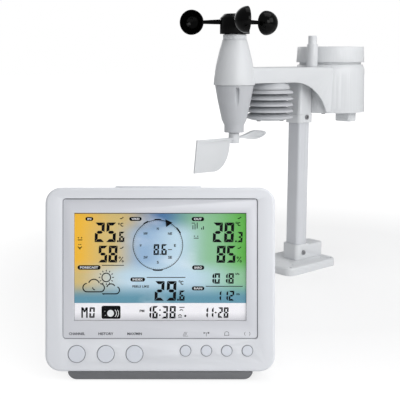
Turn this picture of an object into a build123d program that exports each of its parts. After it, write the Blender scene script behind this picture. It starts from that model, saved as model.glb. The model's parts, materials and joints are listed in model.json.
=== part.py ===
"""Home weather station: an outdoor wind, rain and climate sensor on a square pole and a foot plate, and its
indoor display console on a table stand.

Millimetres, +Z up. The origin is the centre of the foot plate's underside. The sensor's arm runs along X,
with the rain gauge at +X and the wind instruments at -X. The console stands in front of the sensor on the same
surface, and the plane called face is the front of it: right, up the face, and out towards the reader.
"""

import os
from math import cos, radians, sin

from build123d import *

os.makedirs("parts", exist_ok=True)
LOW = (Align.CENTER, Align.CENTER, Align.MIN)  # a solid that stands on its place


def keep(name, builder):
    """Labels a finished piece and writes it to its own file."""
    builder.part.label = name
    export_step(builder.part, f"parts/{name}.step")


# ---------------------------------------------------------------- driving dimensions
FIT = 0.15  # gap round a piece pushed into its seat
GAP = 0.3  # gap between pieces that lie against each other
RUN = 0.05  # radial clearance of a turning shaft
PAST = 1.0  # how far a cut runs past the face it opens
WALL = 2.4  # moulded wall of the outdoor housing
BOARD_T = 1.6
EASE = 1.0  # rounding of small outer edges

# foot plate and pole
PLATE_L, PLATE_W, PLATE_T, PLATE_CORNER, PLATE_EDGE = 110.0, 86.0, 12.0, 12.0, 3.0
PLATE_RIM, PLATE_SKIN, RIB_T, RIB_PITCH = 3.2, 4.0, 2.0, 24.0
FOOT_HOLE_R, FOOT_HOLES_X, FOOT_HOLES_Y = 3.0, 94.0, 70.0
CLAMP_HOLE_R, CLAMP_HOLES_X, CLAMP_HOLES_Y = 2.2, 66.0, 54.0
HOLE_BOSS = 3.0  # plastic left round each hole
MAST_X = 5.0
SOCKET_WALL, SOCKET_TOP, SOCKET_CORNER, SOCKET_FLOOR = 3.25, 36.5, 6.0, 5.0
BLOCK_L, BLOCK_TOP, BLOCK_EDGE = 63.0, 34.0, 2.0
BLOCK_HOLE_R, BLOCK_HOLE_DEEP, BLOCK_HOLES_X = 2.4, 14.0, (19.0, 42.0)
POLE_W, POLE_CORNER, POLE_WALL, POLE_TOP = 24.2, 4.0, 2.0, 262.0
SOCKET_W = POLE_W + 2 * (FIT + SOCKET_WALL)
BOLT_R, BOLT_HEAD_R, BOLT_HEAD_T, BOLT_KEY_R, NUT_R, NUT_T = 2.0, 3.6, 2.6, 1.7, 4.0, 3.0
BOLT_SUNK = 1.0  # how deep a bolt head or a nut sits in its seat
SOCKET_BOLT_Z, COLLAR_BOLT_Z = 23.0, 235.5

# arm, collar and cover
REACH, GAUGE_REACH = 138.0, 70.5  # from the pole to the wind axis and to the gauge axis
ARM_BOTTOM, ARM_TOP, ARM_EDGE = 289.0, 311.0, 5.0
ARM_HALF_WIND, ARM_HALF_GAUGE = 22.0, 38.0
ARCH_START, ARCH_R = MAST_X - 45.0, 70.6  # the arch in the side webs springs from here
WEB_BOTTOM = 243.5
COLLAR_WALL, COLLAR_CORNER, COLLAR_BOTTOM, LIP_TOP = 3.25, 6.0, 227.0, 240.0
PILLAR_WALL, PILLAR_CORNER = 2.15, 5.5
COLLAR_W, PILLAR_W = [POLE_W + 2 * (FIT + wall) for wall in (COLLAR_WALL, PILLAR_WALL)]
COVER_T, POST_R, POST_H = 2.5, 2.5, 4.0
MAIN_BOARD_L, MAIN_BOARD_W, MAIN_BOARD_X = 88.0, 32.0, -50.0
ANTENNA_X, ANTENNA_Y, ANTENNA_R, ANTENNA_STEP = 9.0, -20.0, 8.2, 344.6
ANTENNA_TIP_R, ANTENNA_TOP = 6.4, 357.0
ANTENNA_PEG_R, ANTENNA_PEG = 5.0, 5.0

# wind instruments
CONE = ((29.4, 286.8), (28.8, 295.5), (25.9, 315.0), (21.4, 334.5), (17.0, 349.7))
LOW_CONE = ((13.9, 220.3), (13.9, 230.2), (17.6, 238.0), (23.7, 266.2), (27.3, 286.4))
NECK_R, NECK_TOP, NECK_TUBE_R, NECK_TUBE_BOTTOM = 16.3, 356.6, 8.0, 331.0
SLOT_ANGLES, SLOT_RING, SLOT_R = (-124.0, -4.0, 116.0), 24.6, 2.9
SLOT_BOTTOM, SLOT_TOP, SLOT_BOSS_R = 255.0, 284.0, 5.0
CONE_BOSS_R, CONE_BOSS_H, CONE_SCREW_R, CONE_SCREW_HEAD_R = 3.6, 10.0, 1.2, 2.5
ROTOR_SHAFT_R, ROTOR_BUSH_R, VANE_SHAFT_R, VANE_BUSH_R = 3.0, 5.2, 2.5, 4.8
MAGNET_R, MAGNET_T = 6.0, 4.0
HUB_R, HUB_BOTTOM, HUB_TOP, HUB_BEVEL, HUB_WALL, HUB_ROOF = 20.8, 357.3, 384.5, 5.6, 2.2, 376.0
CAP_R, CAP_T = 9.0, 1.8
CUP_REACH, CUP_R, CUP_WALL, CUP_Z, ROTOR_PHASE = 63.7, 17.5, 1.4, 374.0, 1.5
SPOKE_ROOT, SPOKE_TIP, SPOKE_SET_BACK = (4.4, 6.9), (3.4, 4.9), 2.0
VANE_TURN = 13.0  # the tail points this far past -X
VANE_HUB_R, VANE_HUB_BOTTOM, VANE_HUB_TOP = 7.6, 204.7, 219.3
# outlines of the vane's fin, as distance from the hub along the tail and height
TAIL_TOP = ((0.0, 212.5), (90.0, 216.0))
TAIL_LOW = ((97.0, 172.0), (50.0, 169.0), (22.5, 180.5), (12.0, 206.0), (0.0, 206.0))
PADDLE_TOP = ((-5.0, 213.4), (-30.0, 214.6), (-61.0, 218.4), (-84.0, 213.0))
PADDLE_LOW = ((-61.0, 206.2), (-30.0, 209.0), (-5.0, 210.0))
DISH_MIDDLE, DISH_HALF_L, DISH_HALF_H = (-61.0, 212.4), 17.0, 4.4
TAIL_T, FLANGE_T, FLANGE_ROOT, PADDLE_T, PADDLE_DISH = 1.8, 1.6, 5.5, 6.0, 1.5
WIND_BOARD_Z, WIND_BOARD_R = 275.0, 22.6

# radiation shield
SHIELD_X, SHIELD_R, SHIELD_FLAT_R, SHIELD_BORE, SHIELD_PITCH = MAST_X - 68.0, 36.0, 25.0, 14.0, 9.0
SHIELD_FIRST_TIP, LOUVRE_RISE, LOUVRE_T, OPEN_LOUVRES, SHIELD_BASE_T = 275.4, 4.0, 2.0, 3, 5.0
STUD_RING, STUD_R, STUD_HEAD_R, SPACER_R = 20.0, 1.5, 3.0, 3.2
PROBE_W, PROBE_L = 14.0, 32.0

# rain gauge
BODY_R_BOTTOM, BODY_R_TOP, BODY_BOTTOM, SHOULDER_Z, DECK_Z, DECK_R = 55.6, 53.6, 241.0, 307.5, 314.0, 50.6
RING_R_TOP, RING_R_BOTTOM, RING_TOP, RING_BOTTOM, RING_WALL = 51.4, 52.9, 341.5, 317.6, 2.2
SPIGOT_R, SPIGOT_BOTTOM, SPIGOT_WALL, LEDGE_W = 48.0, 308.0, 2.2, 2.6
FUNNEL_Z, SPOUT_R, SPOUT_BORE, SPOUT_TOP, SPOUT_BOTTOM = 327.0, 5.6, 3.4, 304.0, 297.0
PIVOT_Z, BUCKET_HALF, BUCKET_W, BUCKET_TILT, BUCKET_WALL = 275.0, 27.0, 18.0, 12.0, 1.2
BUCKET_RIM, BUCKET_END, BUCKET_KEEL, DIVIDER_TOP = 12.0, 3.0, -3.0, 15.0
AXLE_R, AXLE_HALF, EAR_W, EAR_T, EAR_OVER, PEG_X, PEG_R = 1.0, 13.4, 7.0, 3.0, 4.0, 21.0, 1.5
FLOOR_T, FLOOR_SCREW_RING, FLOOR_SCREW_R, FLOOR_BOSS_R, FLOOR_BOSS_H = 2.4, 49.4, 1.4, 3.6, 12.0
CELL_R, CELL_L, CELL_NUB_R, CELL_NUB, CELL_APART, CELLS = 7.1, 49.0, 2.8, 1.4, 0.8, 3
CELL_PITCH = 2 * CELL_R + CELL_APART
WELL_END, WELL_SIDE, WELL_WALL, WELL_Y, DOOR_T = 0.8, 1.1, 1.6, 17.0, 2.4
WELL_L = CELL_L + 2 * (CELL_NUB + WELL_END)
WELL_W = (CELLS - 1) * CELL_PITCH + 2 * (CELL_R + WELL_SIDE)
DRAIN_L, DRAIN_W, DRAIN_H, DRAIN_WALL, DRAIN_EDGE = 19.0, 29.0, 15.0, 1.8, 4.0
DRAIN_X, DRAIN_Y = 13.0, -24.0

# console
TURN, LEAN = 41.2, 10.5  # the face is turned this far from the arm, and leans back this far
CONSOLE_X, CONSOLE_Y, CONSOLE_LIFT = -438.0, -213.0, 9.5
FACE_W, FACE_H, FACE_CORNER, FACE_EDGE = 235.0, 188.0, 16.3, 3.0
SHELL_D, SHELL_WALL, FACE_T = 15.0, 2.6, 5.4
PANEL_W, PANEL_H, PANEL_V, PANEL_DEEP, PANEL_T, PANEL_CORNER = 199.5, 143.5, 33.4, 2.8, 1.5, 3.0
SCREEN_W, SCREEN_H, SCREEN_V, GLASS_T, LCD_MARGIN = 176.0, 110.2, 51.8, 1.3, 2.0
BACK_D, BACK_INSET, BACK_EDGE, BACK_LAP = 36.0, 4.0, 8.0, 2.0
BIG_R, BIG_V, BIG_US = 8.4, 18.2, (-85.1, -55.5, -26.2)
SMALL_R, SMALL_V, SMALL_US = 5.2, 21.5, (25.8, 47.1, 67.9, 88.9)
KEY_PROUD, KEY_FLANGE, KEY_FLANGE_T, KEY_TRAVEL, SWITCH_R = 1.0, 1.4, 1.3, 1.2, 2.2
KEY_STEM_R, KEY_STEM = 2.4, 1.0
BAR_U, BAR_L, BAR_W, BAR_PROUD, BAR_DEEP = -2.4, 88.0, 6.4, 1.6, 7.5
BAR_FLANGE, BAR_LUG, BAR_TRAVEL, BAR_STEM, BAR_STEM_T, SWITCH_LAP = 1.6, 2.0, 1.0, 8.0, 4.0, 4.0
BOARD_W, BOARD_V, BOARD_H, BOARD_DEEP = 200.0, 7.5, 161.0, 12.3
CASE_SCREWS_U, CASE_SCREWS_V, CASE_BOSS_R, CASE_HOLE_R = 104.0, (12.0, 172.0), 3.5, 1.3
CASE_HEAD_R, CASE_HEAD_T, CASE_SEAT, CASE_POST_WALL = 2.9, 2.3, 20.0, 2.0
BOARD_POST_U, BOARD_POST_V, BOARD_POST_R = 97.0, (10.0, 165.0), 2.4
BAY_V, BAY_ROOM, BAY_LEDGE = 100.0, 2.8, 2.0
BAY_D = 2 * CELL_R + BAY_ROOM
KEYHOLE_U, KEYHOLE_V, KEYHOLE_R, KEYHOLE_SLOT_R, KEYHOLE_RISE = 60.0, 150.0, 4.2, 2.2, 9.0
GRILLE_U, GRILLE_V, GRILLE_R, GRILLE_RING, BUZZER_R, BUZZER_T = -75.0, 60.0, 1.2, 5.0, 11.0, 4.0
JACK_U, JACK_V, JACK_BORE, JACK_MOUTH_R, JACK_W, JACK_H, JACK_D = 80.0, 40.0, 2.9, 4.4, 12.0, 11.0, 12.0
STAND_W, STAND_DEEP, STAND_T, STAND_CORNER = 189.0, 92.0, 2.6, 9.0
REST_H, REST_W, REST_T, STAND_SET_BACK = 52.0, 110.0, 3.0, 1.5
PAD_R, PAD_T, PAD_SUNK, PAD_U, PAD_AWAYS = 6.0, 1.6, 0.8, 76.0, (13.0, 80.0)

WIND_X, GAUGE_X = MAST_X - REACH, MAST_X + GAUGE_REACH


def turned(points, axis_x, mode=Mode.ADD):
    """Turns a half section, given as radius and height, about the upright axis at axis_x, in the open part."""
    with BuildSketch(Plane.XZ) as half_section:
        with BuildLine():
            Polyline(*[(axis_x + radius, height) for radius, height in points], close=True)
        make_face()
    revolve(half_section.sketch, axis=Axis((axis_x, 0, 0), (0, 0, 1)), mode=mode)


# ---------------------------------------------------------------- foot plate and pole
block_mid = MAST_X + (BLOCK_L - SOCKET_W) / 2


def pole_hole(level, height):
    """Cuts the square hole of the pole into the open part, upwards from a level."""
    with BuildSketch(Plane.XY.offset(level)) as outline:
        with Locations((MAST_X, 0)):
            RectangleRounded(POLE_W + 2 * FIT, POLE_W + 2 * FIT, POLE_CORNER + FIT)
    extrude(outline.sketch, amount=height, mode=Mode.SUBTRACT)


def clamp_seats(level, width):
    """Cuts the clear hole of a clamp bolt at a level, with a seat for its head and one for its nut."""
    with Locations((MAST_X, 0, level)):
        Cylinder(BOLT_R + FIT, 2 * width, rotation=(90, 0, 0), mode=Mode.SUBTRACT)
    with BuildSketch(Plane.XZ.offset(width / 2 - BOLT_SUNK)) as head_seat:
        with Locations((MAST_X, level)):
            Circle(BOLT_HEAD_R + FIT)
    extrude(head_seat.sketch, amount=width, mode=Mode.SUBTRACT)
    with BuildSketch(Plane.XZ.offset(BOLT_SUNK - width / 2)) as nut_seat:
        with Locations((MAST_X, level)):
            RegularPolygon(NUT_R + FIT, 6)
    extrude(nut_seat.sketch, amount=-width, mode=Mode.SUBTRACT)


with BuildPart() as foot_plate:
    with BuildSketch():
        RectangleRounded(PLATE_L, PLATE_W, PLATE_CORNER)
    extrude(amount=PLATE_T)
    fillet(foot_plate.faces().sort_by(Axis.Z)[-1].edges(), PLATE_EDGE)
    pole_hole(SOCKET_FLOOR, PLATE_T)
    # cells of the underside, between its ribs, its hole bosses and the socket
    with BuildSketch():
        RectangleRounded(PLATE_L - 2 * PLATE_RIM, PLATE_W - 2 * PLATE_RIM, PLATE_CORNER - PLATE_RIM)
        with GridLocations(FOOT_HOLES_X, FOOT_HOLES_Y, 2, 2):
            Circle(FOOT_HOLE_R + HOLE_BOSS, mode=Mode.SUBTRACT)
        with GridLocations(CLAMP_HOLES_X, CLAMP_HOLES_Y, 2, 2):
            Circle(CLAMP_HOLE_R + HOLE_BOSS, mode=Mode.SUBTRACT)
        with Locations((block_mid, 0)):
            Rectangle(BLOCK_L, SOCKET_W, mode=Mode.SUBTRACT)
        with GridLocations(RIB_PITCH, RIB_PITCH, 4, 1):
            Rectangle(RIB_T, PLATE_W, mode=Mode.SUBTRACT)
        with GridLocations(RIB_PITCH, RIB_PITCH, 1, 3):
            Rectangle(PLATE_L, RIB_T, mode=Mode.SUBTRACT)
    extrude(amount=PLATE_T - PLATE_SKIN, mode=Mode.SUBTRACT)
    with BuildSketch():
        with GridLocations(FOOT_HOLES_X, FOOT_HOLES_Y, 2, 2):
            Circle(FOOT_HOLE_R)
        with GridLocations(CLAMP_HOLES_X, CLAMP_HOLES_Y, 2, 2):
            Circle(CLAMP_HOLE_R)
    extrude(amount=PLATE_T, mode=Mode.SUBTRACT)
keep("foot_plate", foot_plate)

with BuildPart() as mast_block:
    with BuildSketch(Plane.XY.offset(PLATE_T)):
        with Locations((block_mid, 0)):
            RectangleRounded(BLOCK_L, SOCKET_W, SOCKET_CORNER)
    extrude(amount=BLOCK_TOP - PLATE_T)
    fillet(mast_block.faces().sort_by(Axis.Z)[-1].edges(), BLOCK_EDGE)
    with BuildSketch(Plane.XY.offset(PLATE_T)):
        with Locations((MAST_X, 0)):
            RectangleRounded(SOCKET_W, SOCKET_W, SOCKET_CORNER)
    extrude(amount=SOCKET_TOP - PLATE_T)
    pole_hole(PLATE_T, SOCKET_TOP)
    # two blind holes in the block's top
    with BuildSketch(Plane.XY.offset(BLOCK_TOP - BLOCK_HOLE_DEEP)):
        with Locations(*[(MAST_X + along, 0) for along in BLOCK_HOLES_X]):
            Circle(BLOCK_HOLE_R)
    extrude(amount=BLOCK_HOLE_DEEP, mode=Mode.SUBTRACT)
    clamp_seats(SOCKET_BOLT_Z, SOCKET_W)
keep("mast_block", mast_block)

with BuildPart() as mast_pole:
    with BuildSketch(Plane.XY.offset(SOCKET_FLOOR)):
        with Locations((MAST_X, 0)):
            bore_w = POLE_W - 2 * POLE_WALL
            RectangleRounded(POLE_W, POLE_W, POLE_CORNER)
            RectangleRounded(bore_w, bore_w, POLE_CORNER - POLE_WALL, mode=Mode.SUBTRACT)
    extrude(amount=POLE_TOP - SOCKET_FLOOR)
    with Locations((MAST_X, 0, SOCKET_BOLT_Z), (MAST_X, 0, COLLAR_BOLT_Z)):
        Cylinder(BOLT_R + FIT, 2 * POLE_W, rotation=(90, 0, 0), mode=Mode.SUBTRACT)
keep("mast_pole", mast_pole)

# each clamp bolt runs along Y, with its head on the -Y side and its nut on the +Y side
clamps = ((SOCKET_BOLT_Z, SOCKET_W / 2 - BOLT_SUNK), (COLLAR_BOLT_Z, COLLAR_W / 2 - BOLT_SUNK))
with BuildPart() as mast_bolts:
    for level, seat in clamps:
        with BuildSketch(Plane.XZ.offset(seat)):
            with Locations((MAST_X, level)):
                Circle(BOLT_HEAD_R)
        extrude(amount=BOLT_HEAD_T)
        with BuildSketch(Plane.XZ.offset(-seat - NUT_T)):
            with Locations((MAST_X, level)):
                Circle(BOLT_R)
        extrude(amount=2 * seat + NUT_T)
        with BuildSketch(Plane.XZ.offset(seat + BOLT_HEAD_T / 2)):
            with Locations((MAST_X, level)):
                RegularPolygon(BOLT_KEY_R, 6)
        extrude(amount=BOLT_HEAD_T, mode=Mode.SUBTRACT)
keep("mast_bolts", mast_bolts)

with BuildPart() as mast_nuts:
    for level, seat in clamps:
        with BuildSketch(Plane.XZ.offset(-seat)):
            with Locations((MAST_X, level)):
                RegularPolygon(NUT_R, 6)
                Circle(BOLT_R, mode=Mode.SUBTRACT)
        extrude(amount=-NUT_T)
keep("mast_nuts", mast_nuts)


# ---------------------------------------------------------------- arm and collar
ARM_SLOPE = (ARM_HALF_GAUGE - ARM_HALF_WIND) / (GAUGE_REACH + REACH - ARM_HALF_GAUGE)
arm_end = GAUGE_X - ARM_HALF_GAUGE
wind_points = [(WIND_X + SLOT_RING * cos(radians(a)), SLOT_RING * sin(radians(a))) for a in SLOT_ANGLES]
body_skin = [(0, BODY_BOTTOM - PAST), (BODY_R_BOTTOM + FIT, BODY_BOTTOM - PAST),
             (BODY_R_BOTTOM + FIT, BODY_BOTTOM), (BODY_R_TOP + FIT, SHOULDER_Z),
             (DECK_R + FIT, DECK_Z), (0, DECK_Z)]


def arm_outline(start, end, inset=0.0):
    """Plan outline of the arm between two places along X, in the open sketch."""
    near, far = [ARM_HALF_WIND + ARM_SLOPE * (x - WIND_X) - inset for x in (start, end)]
    Polygon((start, -near), (end, -far), (end, far), (start, near), align=None)


with BuildPart() as arm_shell:
    with BuildSketch(Plane.XY.offset(ARM_BOTTOM)):
        arm_outline(WIND_X, arm_end)
    extrude(amount=ARM_TOP - ARM_BOTTOM)
    fillet(arm_shell.faces().sort_by(Axis.Z)[-1].edges().sort_by(Axis.X)[1:3], ARM_EDGE)
    # side webs down to the gauge, under an arch
    with BuildSketch(Plane.XY.offset(WEB_BOTTOM)):
        arm_outline(ARCH_START, arm_end)
    extrude(amount=ARM_BOTTOM - WEB_BOTTOM)
    with Locations((ARCH_START, 0, ARM_BOTTOM - ARCH_R)):
        Cylinder(ARCH_R, 2 * BODY_R_BOTTOM, rotation=(90, 0, 0), mode=Mode.SUBTRACT)
    with BuildSketch(Plane.XY.offset(WEB_BOTTOM - PAST)):
        arm_outline(WIND_X + WALL, arm_end + PAST, WALL)
    extrude(amount=ARM_TOP - WALL - WEB_BOTTOM + PAST, mode=Mode.SUBTRACT)
    # upper wind cone
    turned([(0, CONE[0][1]), *CONE, (0, CONE[-1][1])], WIND_X)
    inner = [(radius - WALL, height) for radius, height in CONE]
    turned([(0, CONE[0][1]), *inner[:-1], (inner[-1][0], CONE[-1][1] - WALL), (0, CONE[-1][1] - WALL)],
           WIND_X, Mode.SUBTRACT)
    with Locations(*[(x, y, CONE[0][1]) for x, y in wind_points]):
        Cylinder(CONE_BOSS_R, CONE_BOSS_H, align=LOW)
        Cylinder(CONE_SCREW_R + FIT, CONE_BOSS_H - WALL, align=LOW, mode=Mode.SUBTRACT)
    with Locations((WIND_X, 0, CONE[-1][1])):
        Cylinder(NECK_TUBE_R + FIT, 4 * WALL, mode=Mode.SUBTRACT)
    with Locations((ANTENNA_X, ANTENNA_Y, ARM_TOP)):
        Cylinder(ANTENNA_PEG_R + FIT, 4 * WALL, mode=Mode.SUBTRACT)
    turned(body_skin, GAUGE_X, Mode.SUBTRACT)
keep("arm_shell", arm_shell)

stud_points = [(SHIELD_X + STUD_RING * cos(radians(a)), STUD_RING * sin(radians(a))) for a in (60, 180, 300)]
with BuildPart() as arm_cover:
    with BuildSketch(Plane.XY.offset(ARM_BOTTOM)):
        arm_outline(WIND_X, arm_end, WALL + FIT)
    extrude(amount=COVER_T)
    with Locations(Plane.XY.offset(ARM_BOTTOM + COVER_T)):
        with Locations((MAIN_BOARD_X, 0)):
            with GridLocations(MAIN_BOARD_L - 2 * POST_R, MAIN_BOARD_W - 2 * POST_R, 2, 2):
                Cylinder(POST_R, POST_H, align=LOW)
    with Locations(*[(x, y, ARM_BOTTOM) for x, y in stud_points]):
        Cylinder(STUD_R + FIT, 2 * COVER_T, mode=Mode.SUBTRACT)
    with Locations((WIND_X, 0, ARM_BOTTOM)):
        Cylinder(CONE[0][0] + FIT, 2 * COVER_T + PAST, mode=Mode.SUBTRACT)
    turned(body_skin, GAUGE_X, Mode.SUBTRACT)
keep("arm_cover", arm_cover)

with BuildPart() as main_board:
    with Locations((MAIN_BOARD_X, 0, ARM_BOTTOM + COVER_T + POST_H)):
        Box(MAIN_BOARD_L, MAIN_BOARD_W, BOARD_T, align=LOW)
keep("main_board", main_board)

with BuildPart() as pole_collar:
    with BuildSketch(Plane.XY.offset(COLLAR_BOTTOM)):
        with Locations((MAST_X, 0)):
            RectangleRounded(COLLAR_W, COLLAR_W, COLLAR_CORNER)
    extrude(amount=LIP_TOP - COLLAR_BOTTOM)
    fillet(pole_collar.faces().sort_by(Axis.Z)[-1].edges(), EASE)
    with BuildSketch(Plane.XY.offset(COLLAR_BOTTOM)):
        with Locations((MAST_X, 0)):
            RectangleRounded(PILLAR_W, PILLAR_W, PILLAR_CORNER)
    extrude(amount=ARM_BOTTOM - COLLAR_BOTTOM)
    pole_hole(COLLAR_BOTTOM, POLE_TOP + GAP - COLLAR_BOTTOM)
    clamp_seats(COLLAR_BOLT_Z, COLLAR_W)
keep("pole_collar", pole_collar)

with BuildPart() as antenna:
    with Locations((ANTENNA_X, ANTENNA_Y, ARM_TOP)):
        Cylinder(ANTENNA_R, ANTENNA_STEP - ARM_TOP, align=LOW)
        Cylinder(ANTENNA_TIP_R, ANTENNA_TOP - ARM_TOP, align=LOW)
    fillet(antenna.edges().sort_by(Axis.Z)[-1], EASE)
    with Locations((ANTENNA_X, ANTENNA_Y, ARM_TOP - ANTENNA_PEG)):
        Cylinder(ANTENNA_PEG_R, ANTENNA_PEG, align=LOW)
keep("antenna", antenna)


# ---------------------------------------------------------------- wind instruments
with BuildPart() as lower_cone:
    outer = [(0, LOW_CONE[0][1]), *LOW_CONE, (0, LOW_CONE[-1][1])]
    turned(outer, WIND_X)
    cavity = [(radius - WALL, height) for radius, height in LOW_CONE[2:]]
    turned([(0, LOW_CONE[2][1]), *cavity, (0, LOW_CONE[-1][1])], WIND_X, Mode.SUBTRACT)
    with Locations(*[(x, y, SLOT_BOTTOM) for x, y in wind_points]):
        Cylinder(SLOT_BOSS_R, LOW_CONE[-1][1] - SLOT_BOTTOM, align=LOW)
    turned(outer, WIND_X, Mode.INTERSECT)
    with Locations(*[(x, y, SLOT_BOTTOM) for x, y in wind_points]):
        Cylinder(SLOT_R, SLOT_TOP - SLOT_BOTTOM, align=LOW, mode=Mode.SUBTRACT)
        Cylinder(CONE_SCREW_R + FIT, LOW_CONE[-1][1], align=LOW, mode=Mode.SUBTRACT)
    with Locations((WIND_X, 0, LOW_CONE[0][1])):
        Cylinder(VANE_BUSH_R, LOW_CONE[-1][1], mode=Mode.SUBTRACT)
keep("lower_cone", lower_cone)

with BuildPart() as cone_screws:
    with Locations(*[(x, y, SLOT_TOP - CONE_SCREW_R) for x, y in wind_points]):
        Cylinder(CONE_SCREW_HEAD_R, CONE_SCREW_R, align=LOW)
        Cylinder(CONE_SCREW_R, CONE_BOSS_H, align=LOW)
keep("cone_screws", cone_screws)

with BuildPart() as wind_board:
    with Locations((WIND_X, 0, WIND_BOARD_Z)):
        Cylinder(WIND_BOARD_R, BOARD_T, align=LOW)
    with Locations(*[(x, y, WIND_BOARD_Z) for x, y in wind_points]):
        Cylinder(SLOT_BOSS_R + GAP, 2 * BOARD_T, mode=Mode.SUBTRACT)
keep("wind_board", wind_board)

with BuildPart() as wind_neck:
    with Locations((WIND_X, 0, CONE[-1][1])):
        Cylinder(NECK_R, NECK_TOP - CONE[-1][1], align=LOW)
    fillet(wind_neck.edges().sort_by(Axis.Z)[-1], EASE)
    with Locations((WIND_X, 0, NECK_TUBE_BOTTOM)):
        Cylinder(NECK_TUBE_R, NECK_TOP - NECK_TUBE_BOTTOM, align=LOW)
        Cylinder(ROTOR_BUSH_R, NECK_TOP, align=LOW, mode=Mode.SUBTRACT)
keep("wind_neck", wind_neck)

with BuildPart() as wind_bushes:
    with Locations((WIND_X, 0, NECK_TUBE_BOTTOM)):
        Cylinder(ROTOR_BUSH_R, NECK_TOP - NECK_TUBE_BOTTOM, align=LOW)
        Cylinder(ROTOR_SHAFT_R + RUN, NECK_TOP, align=LOW, mode=Mode.SUBTRACT)
    with Locations((WIND_X, 0, LOW_CONE[0][1])):
        Cylinder(VANE_BUSH_R, LOW_CONE[2][1] - LOW_CONE[0][1], align=LOW)
        Cylinder(VANE_SHAFT_R + RUN, LOW_CONE[2][1], mode=Mode.SUBTRACT)
keep("wind_bushes", wind_bushes)

rotor_shaft_top = HUB_TOP - CAP_T - GAP
rotor_shaft_bottom = NECK_TUBE_BOTTOM - GAP
with BuildPart() as cup_rotor:
    turned([(0, HUB_BOTTOM), (HUB_R, HUB_BOTTOM), (HUB_R, HUB_TOP - HUB_BEVEL), (HUB_R - HUB_BEVEL, HUB_TOP),
            (0, HUB_TOP)], WIND_X)
    with Locations((WIND_X, 0, HUB_BOTTOM)):
        Cylinder(HUB_R - HUB_WALL, HUB_ROOF - HUB_BOTTOM, align=LOW, mode=Mode.SUBTRACT)
        Cylinder(2 * ROTOR_SHAFT_R, HUB_ROOF - HUB_BOTTOM, align=LOW)
    with Locations((WIND_X, 0, HUB_TOP - CAP_T)):
        Cylinder(CAP_R + FIT, 2 * CAP_T, align=LOW, mode=Mode.SUBTRACT)
    for angle in (ROTOR_PHASE, ROTOR_PHASE + 120, ROTOR_PHASE + 240):
        out = Vector(cos(radians(angle)), sin(radians(angle)), 0)
        ahead = Vector(-out.Y, out.X, 0)
        hub = Vector(WIND_X, 0, CUP_Z) - ahead * SPOKE_SET_BACK
        spoke = Plane(origin=hub, x_dir=ahead, z_dir=out)
        with BuildSketch(spoke.offset(HUB_R - HUB_WALL / 2)):
            Rectangle(*SPOKE_ROOT)
        with BuildSketch(spoke.offset(CUP_REACH - CUP_R + CUP_WALL)):
            Rectangle(*SPOKE_TIP)
        loft()
        middle = Vector(WIND_X, 0, CUP_Z) + out * CUP_REACH
        with BuildSketch(Plane(origin=middle, x_dir=out, z_dir=(0, 0, 1))):
            Circle(CUP_R)
            Circle(CUP_R - CUP_WALL, mode=Mode.SUBTRACT)
            Rectangle(CUP_R, CUP_R, align=(Align.MIN, Align.MAX), mode=Mode.INTERSECT)
        revolve(axis=Axis(middle, ahead))
    with Locations((WIND_X, 0, HUB_BOTTOM)):
        Cylinder(ROTOR_SHAFT_R, HUB_TOP, align=LOW, mode=Mode.SUBTRACT)
keep("cup_rotor", cup_rotor)

with BuildPart() as rotor_shaft:
    with Locations((WIND_X, 0, rotor_shaft_bottom)):
        Cylinder(ROTOR_SHAFT_R, rotor_shaft_top - rotor_shaft_bottom, align=LOW)
keep("rotor_shaft", rotor_shaft)

with BuildPart() as rotor_magnet:
    with Locations((WIND_X, 0, rotor_shaft_bottom - MAGNET_T)):
        Cylinder(MAGNET_R, MAGNET_T, align=LOW)
keep("rotor_magnet", rotor_magnet)

with BuildPart() as rotor_cap:
    with Locations((WIND_X, 0, HUB_TOP - CAP_T)):
        Cylinder(CAP_R, CAP_T, align=LOW)
        Cylinder(CAP_R / 2, CAP_T + GAP, align=LOW)
keep("rotor_cap", rotor_cap)

tail_way = Vector(-cos(radians(VANE_TURN)), -sin(radians(VANE_TURN)), 0)
fin = Plane(origin=(WIND_X, 0, 0), x_dir=tail_way, z_dir=(tail_way.Y, -tail_way.X, 0))
with BuildPart() as wind_vane:
    with Locations((WIND_X, 0, VANE_HUB_BOTTOM)):
        Cylinder(VANE_HUB_R, VANE_HUB_TOP - VANE_HUB_BOTTOM, align=LOW)
    fillet(wind_vane.edges().filter_by(GeomType.CIRCLE), EASE)
    # tail: straight top, outer and lower edges, and a curved inner edge
    with BuildSketch(fin.offset(-TAIL_T / 2)):
        with BuildLine():
            Polyline(TAIL_LOW[-1], *TAIL_TOP, *TAIL_LOW[:2])
            ThreePointArc(*TAIL_LOW[1:4])
            Line(*TAIL_LOW[3:])
        make_face()
    extrude(amount=TAIL_T)
    # flange along the tail's top, wide at the hub
    root, tip = [fin.from_local_coords((along, height, 0)) for along, height in TAIL_TOP]
    top_edge = Plane(origin=root, x_dir=tip - root, z_dir=(0, 0, 1))
    reach = TAIL_TOP[1][0]
    with BuildSketch(top_edge.offset(-FLANGE_T)):
        Polygon((0, -FLANGE_ROOT), (reach, -TAIL_T / 2), (reach, TAIL_T / 2), (0, FLANGE_ROOT), align=None)
    extrude(amount=FLANGE_T)
    # counterweight: a drop-shaped paddle with a dished middle, on the other side of the hub
    with BuildSketch(fin.offset(-PADDLE_T / 2)):
        with BuildLine():
            Spline(*PADDLE_TOP, *PADDLE_LOW)
            Line(PADDLE_LOW[-1], PADDLE_TOP[0])
        make_face()
    extrude(amount=PADDLE_T)
    for side in (-1, 1):
        with BuildSketch(fin.offset(side * PADDLE_T / 2)):
            with Locations(DISH_MIDDLE):
                Ellipse(DISH_HALF_L, DISH_HALF_H)
        extrude(amount=-side * PADDLE_DISH, mode=Mode.SUBTRACT)
    with Locations((WIND_X, 0, VANE_HUB_BOTTOM + WALL)):
        Cylinder(VANE_SHAFT_R, VANE_HUB_TOP, align=LOW, mode=Mode.SUBTRACT)
keep("wind_vane", wind_vane)

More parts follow.
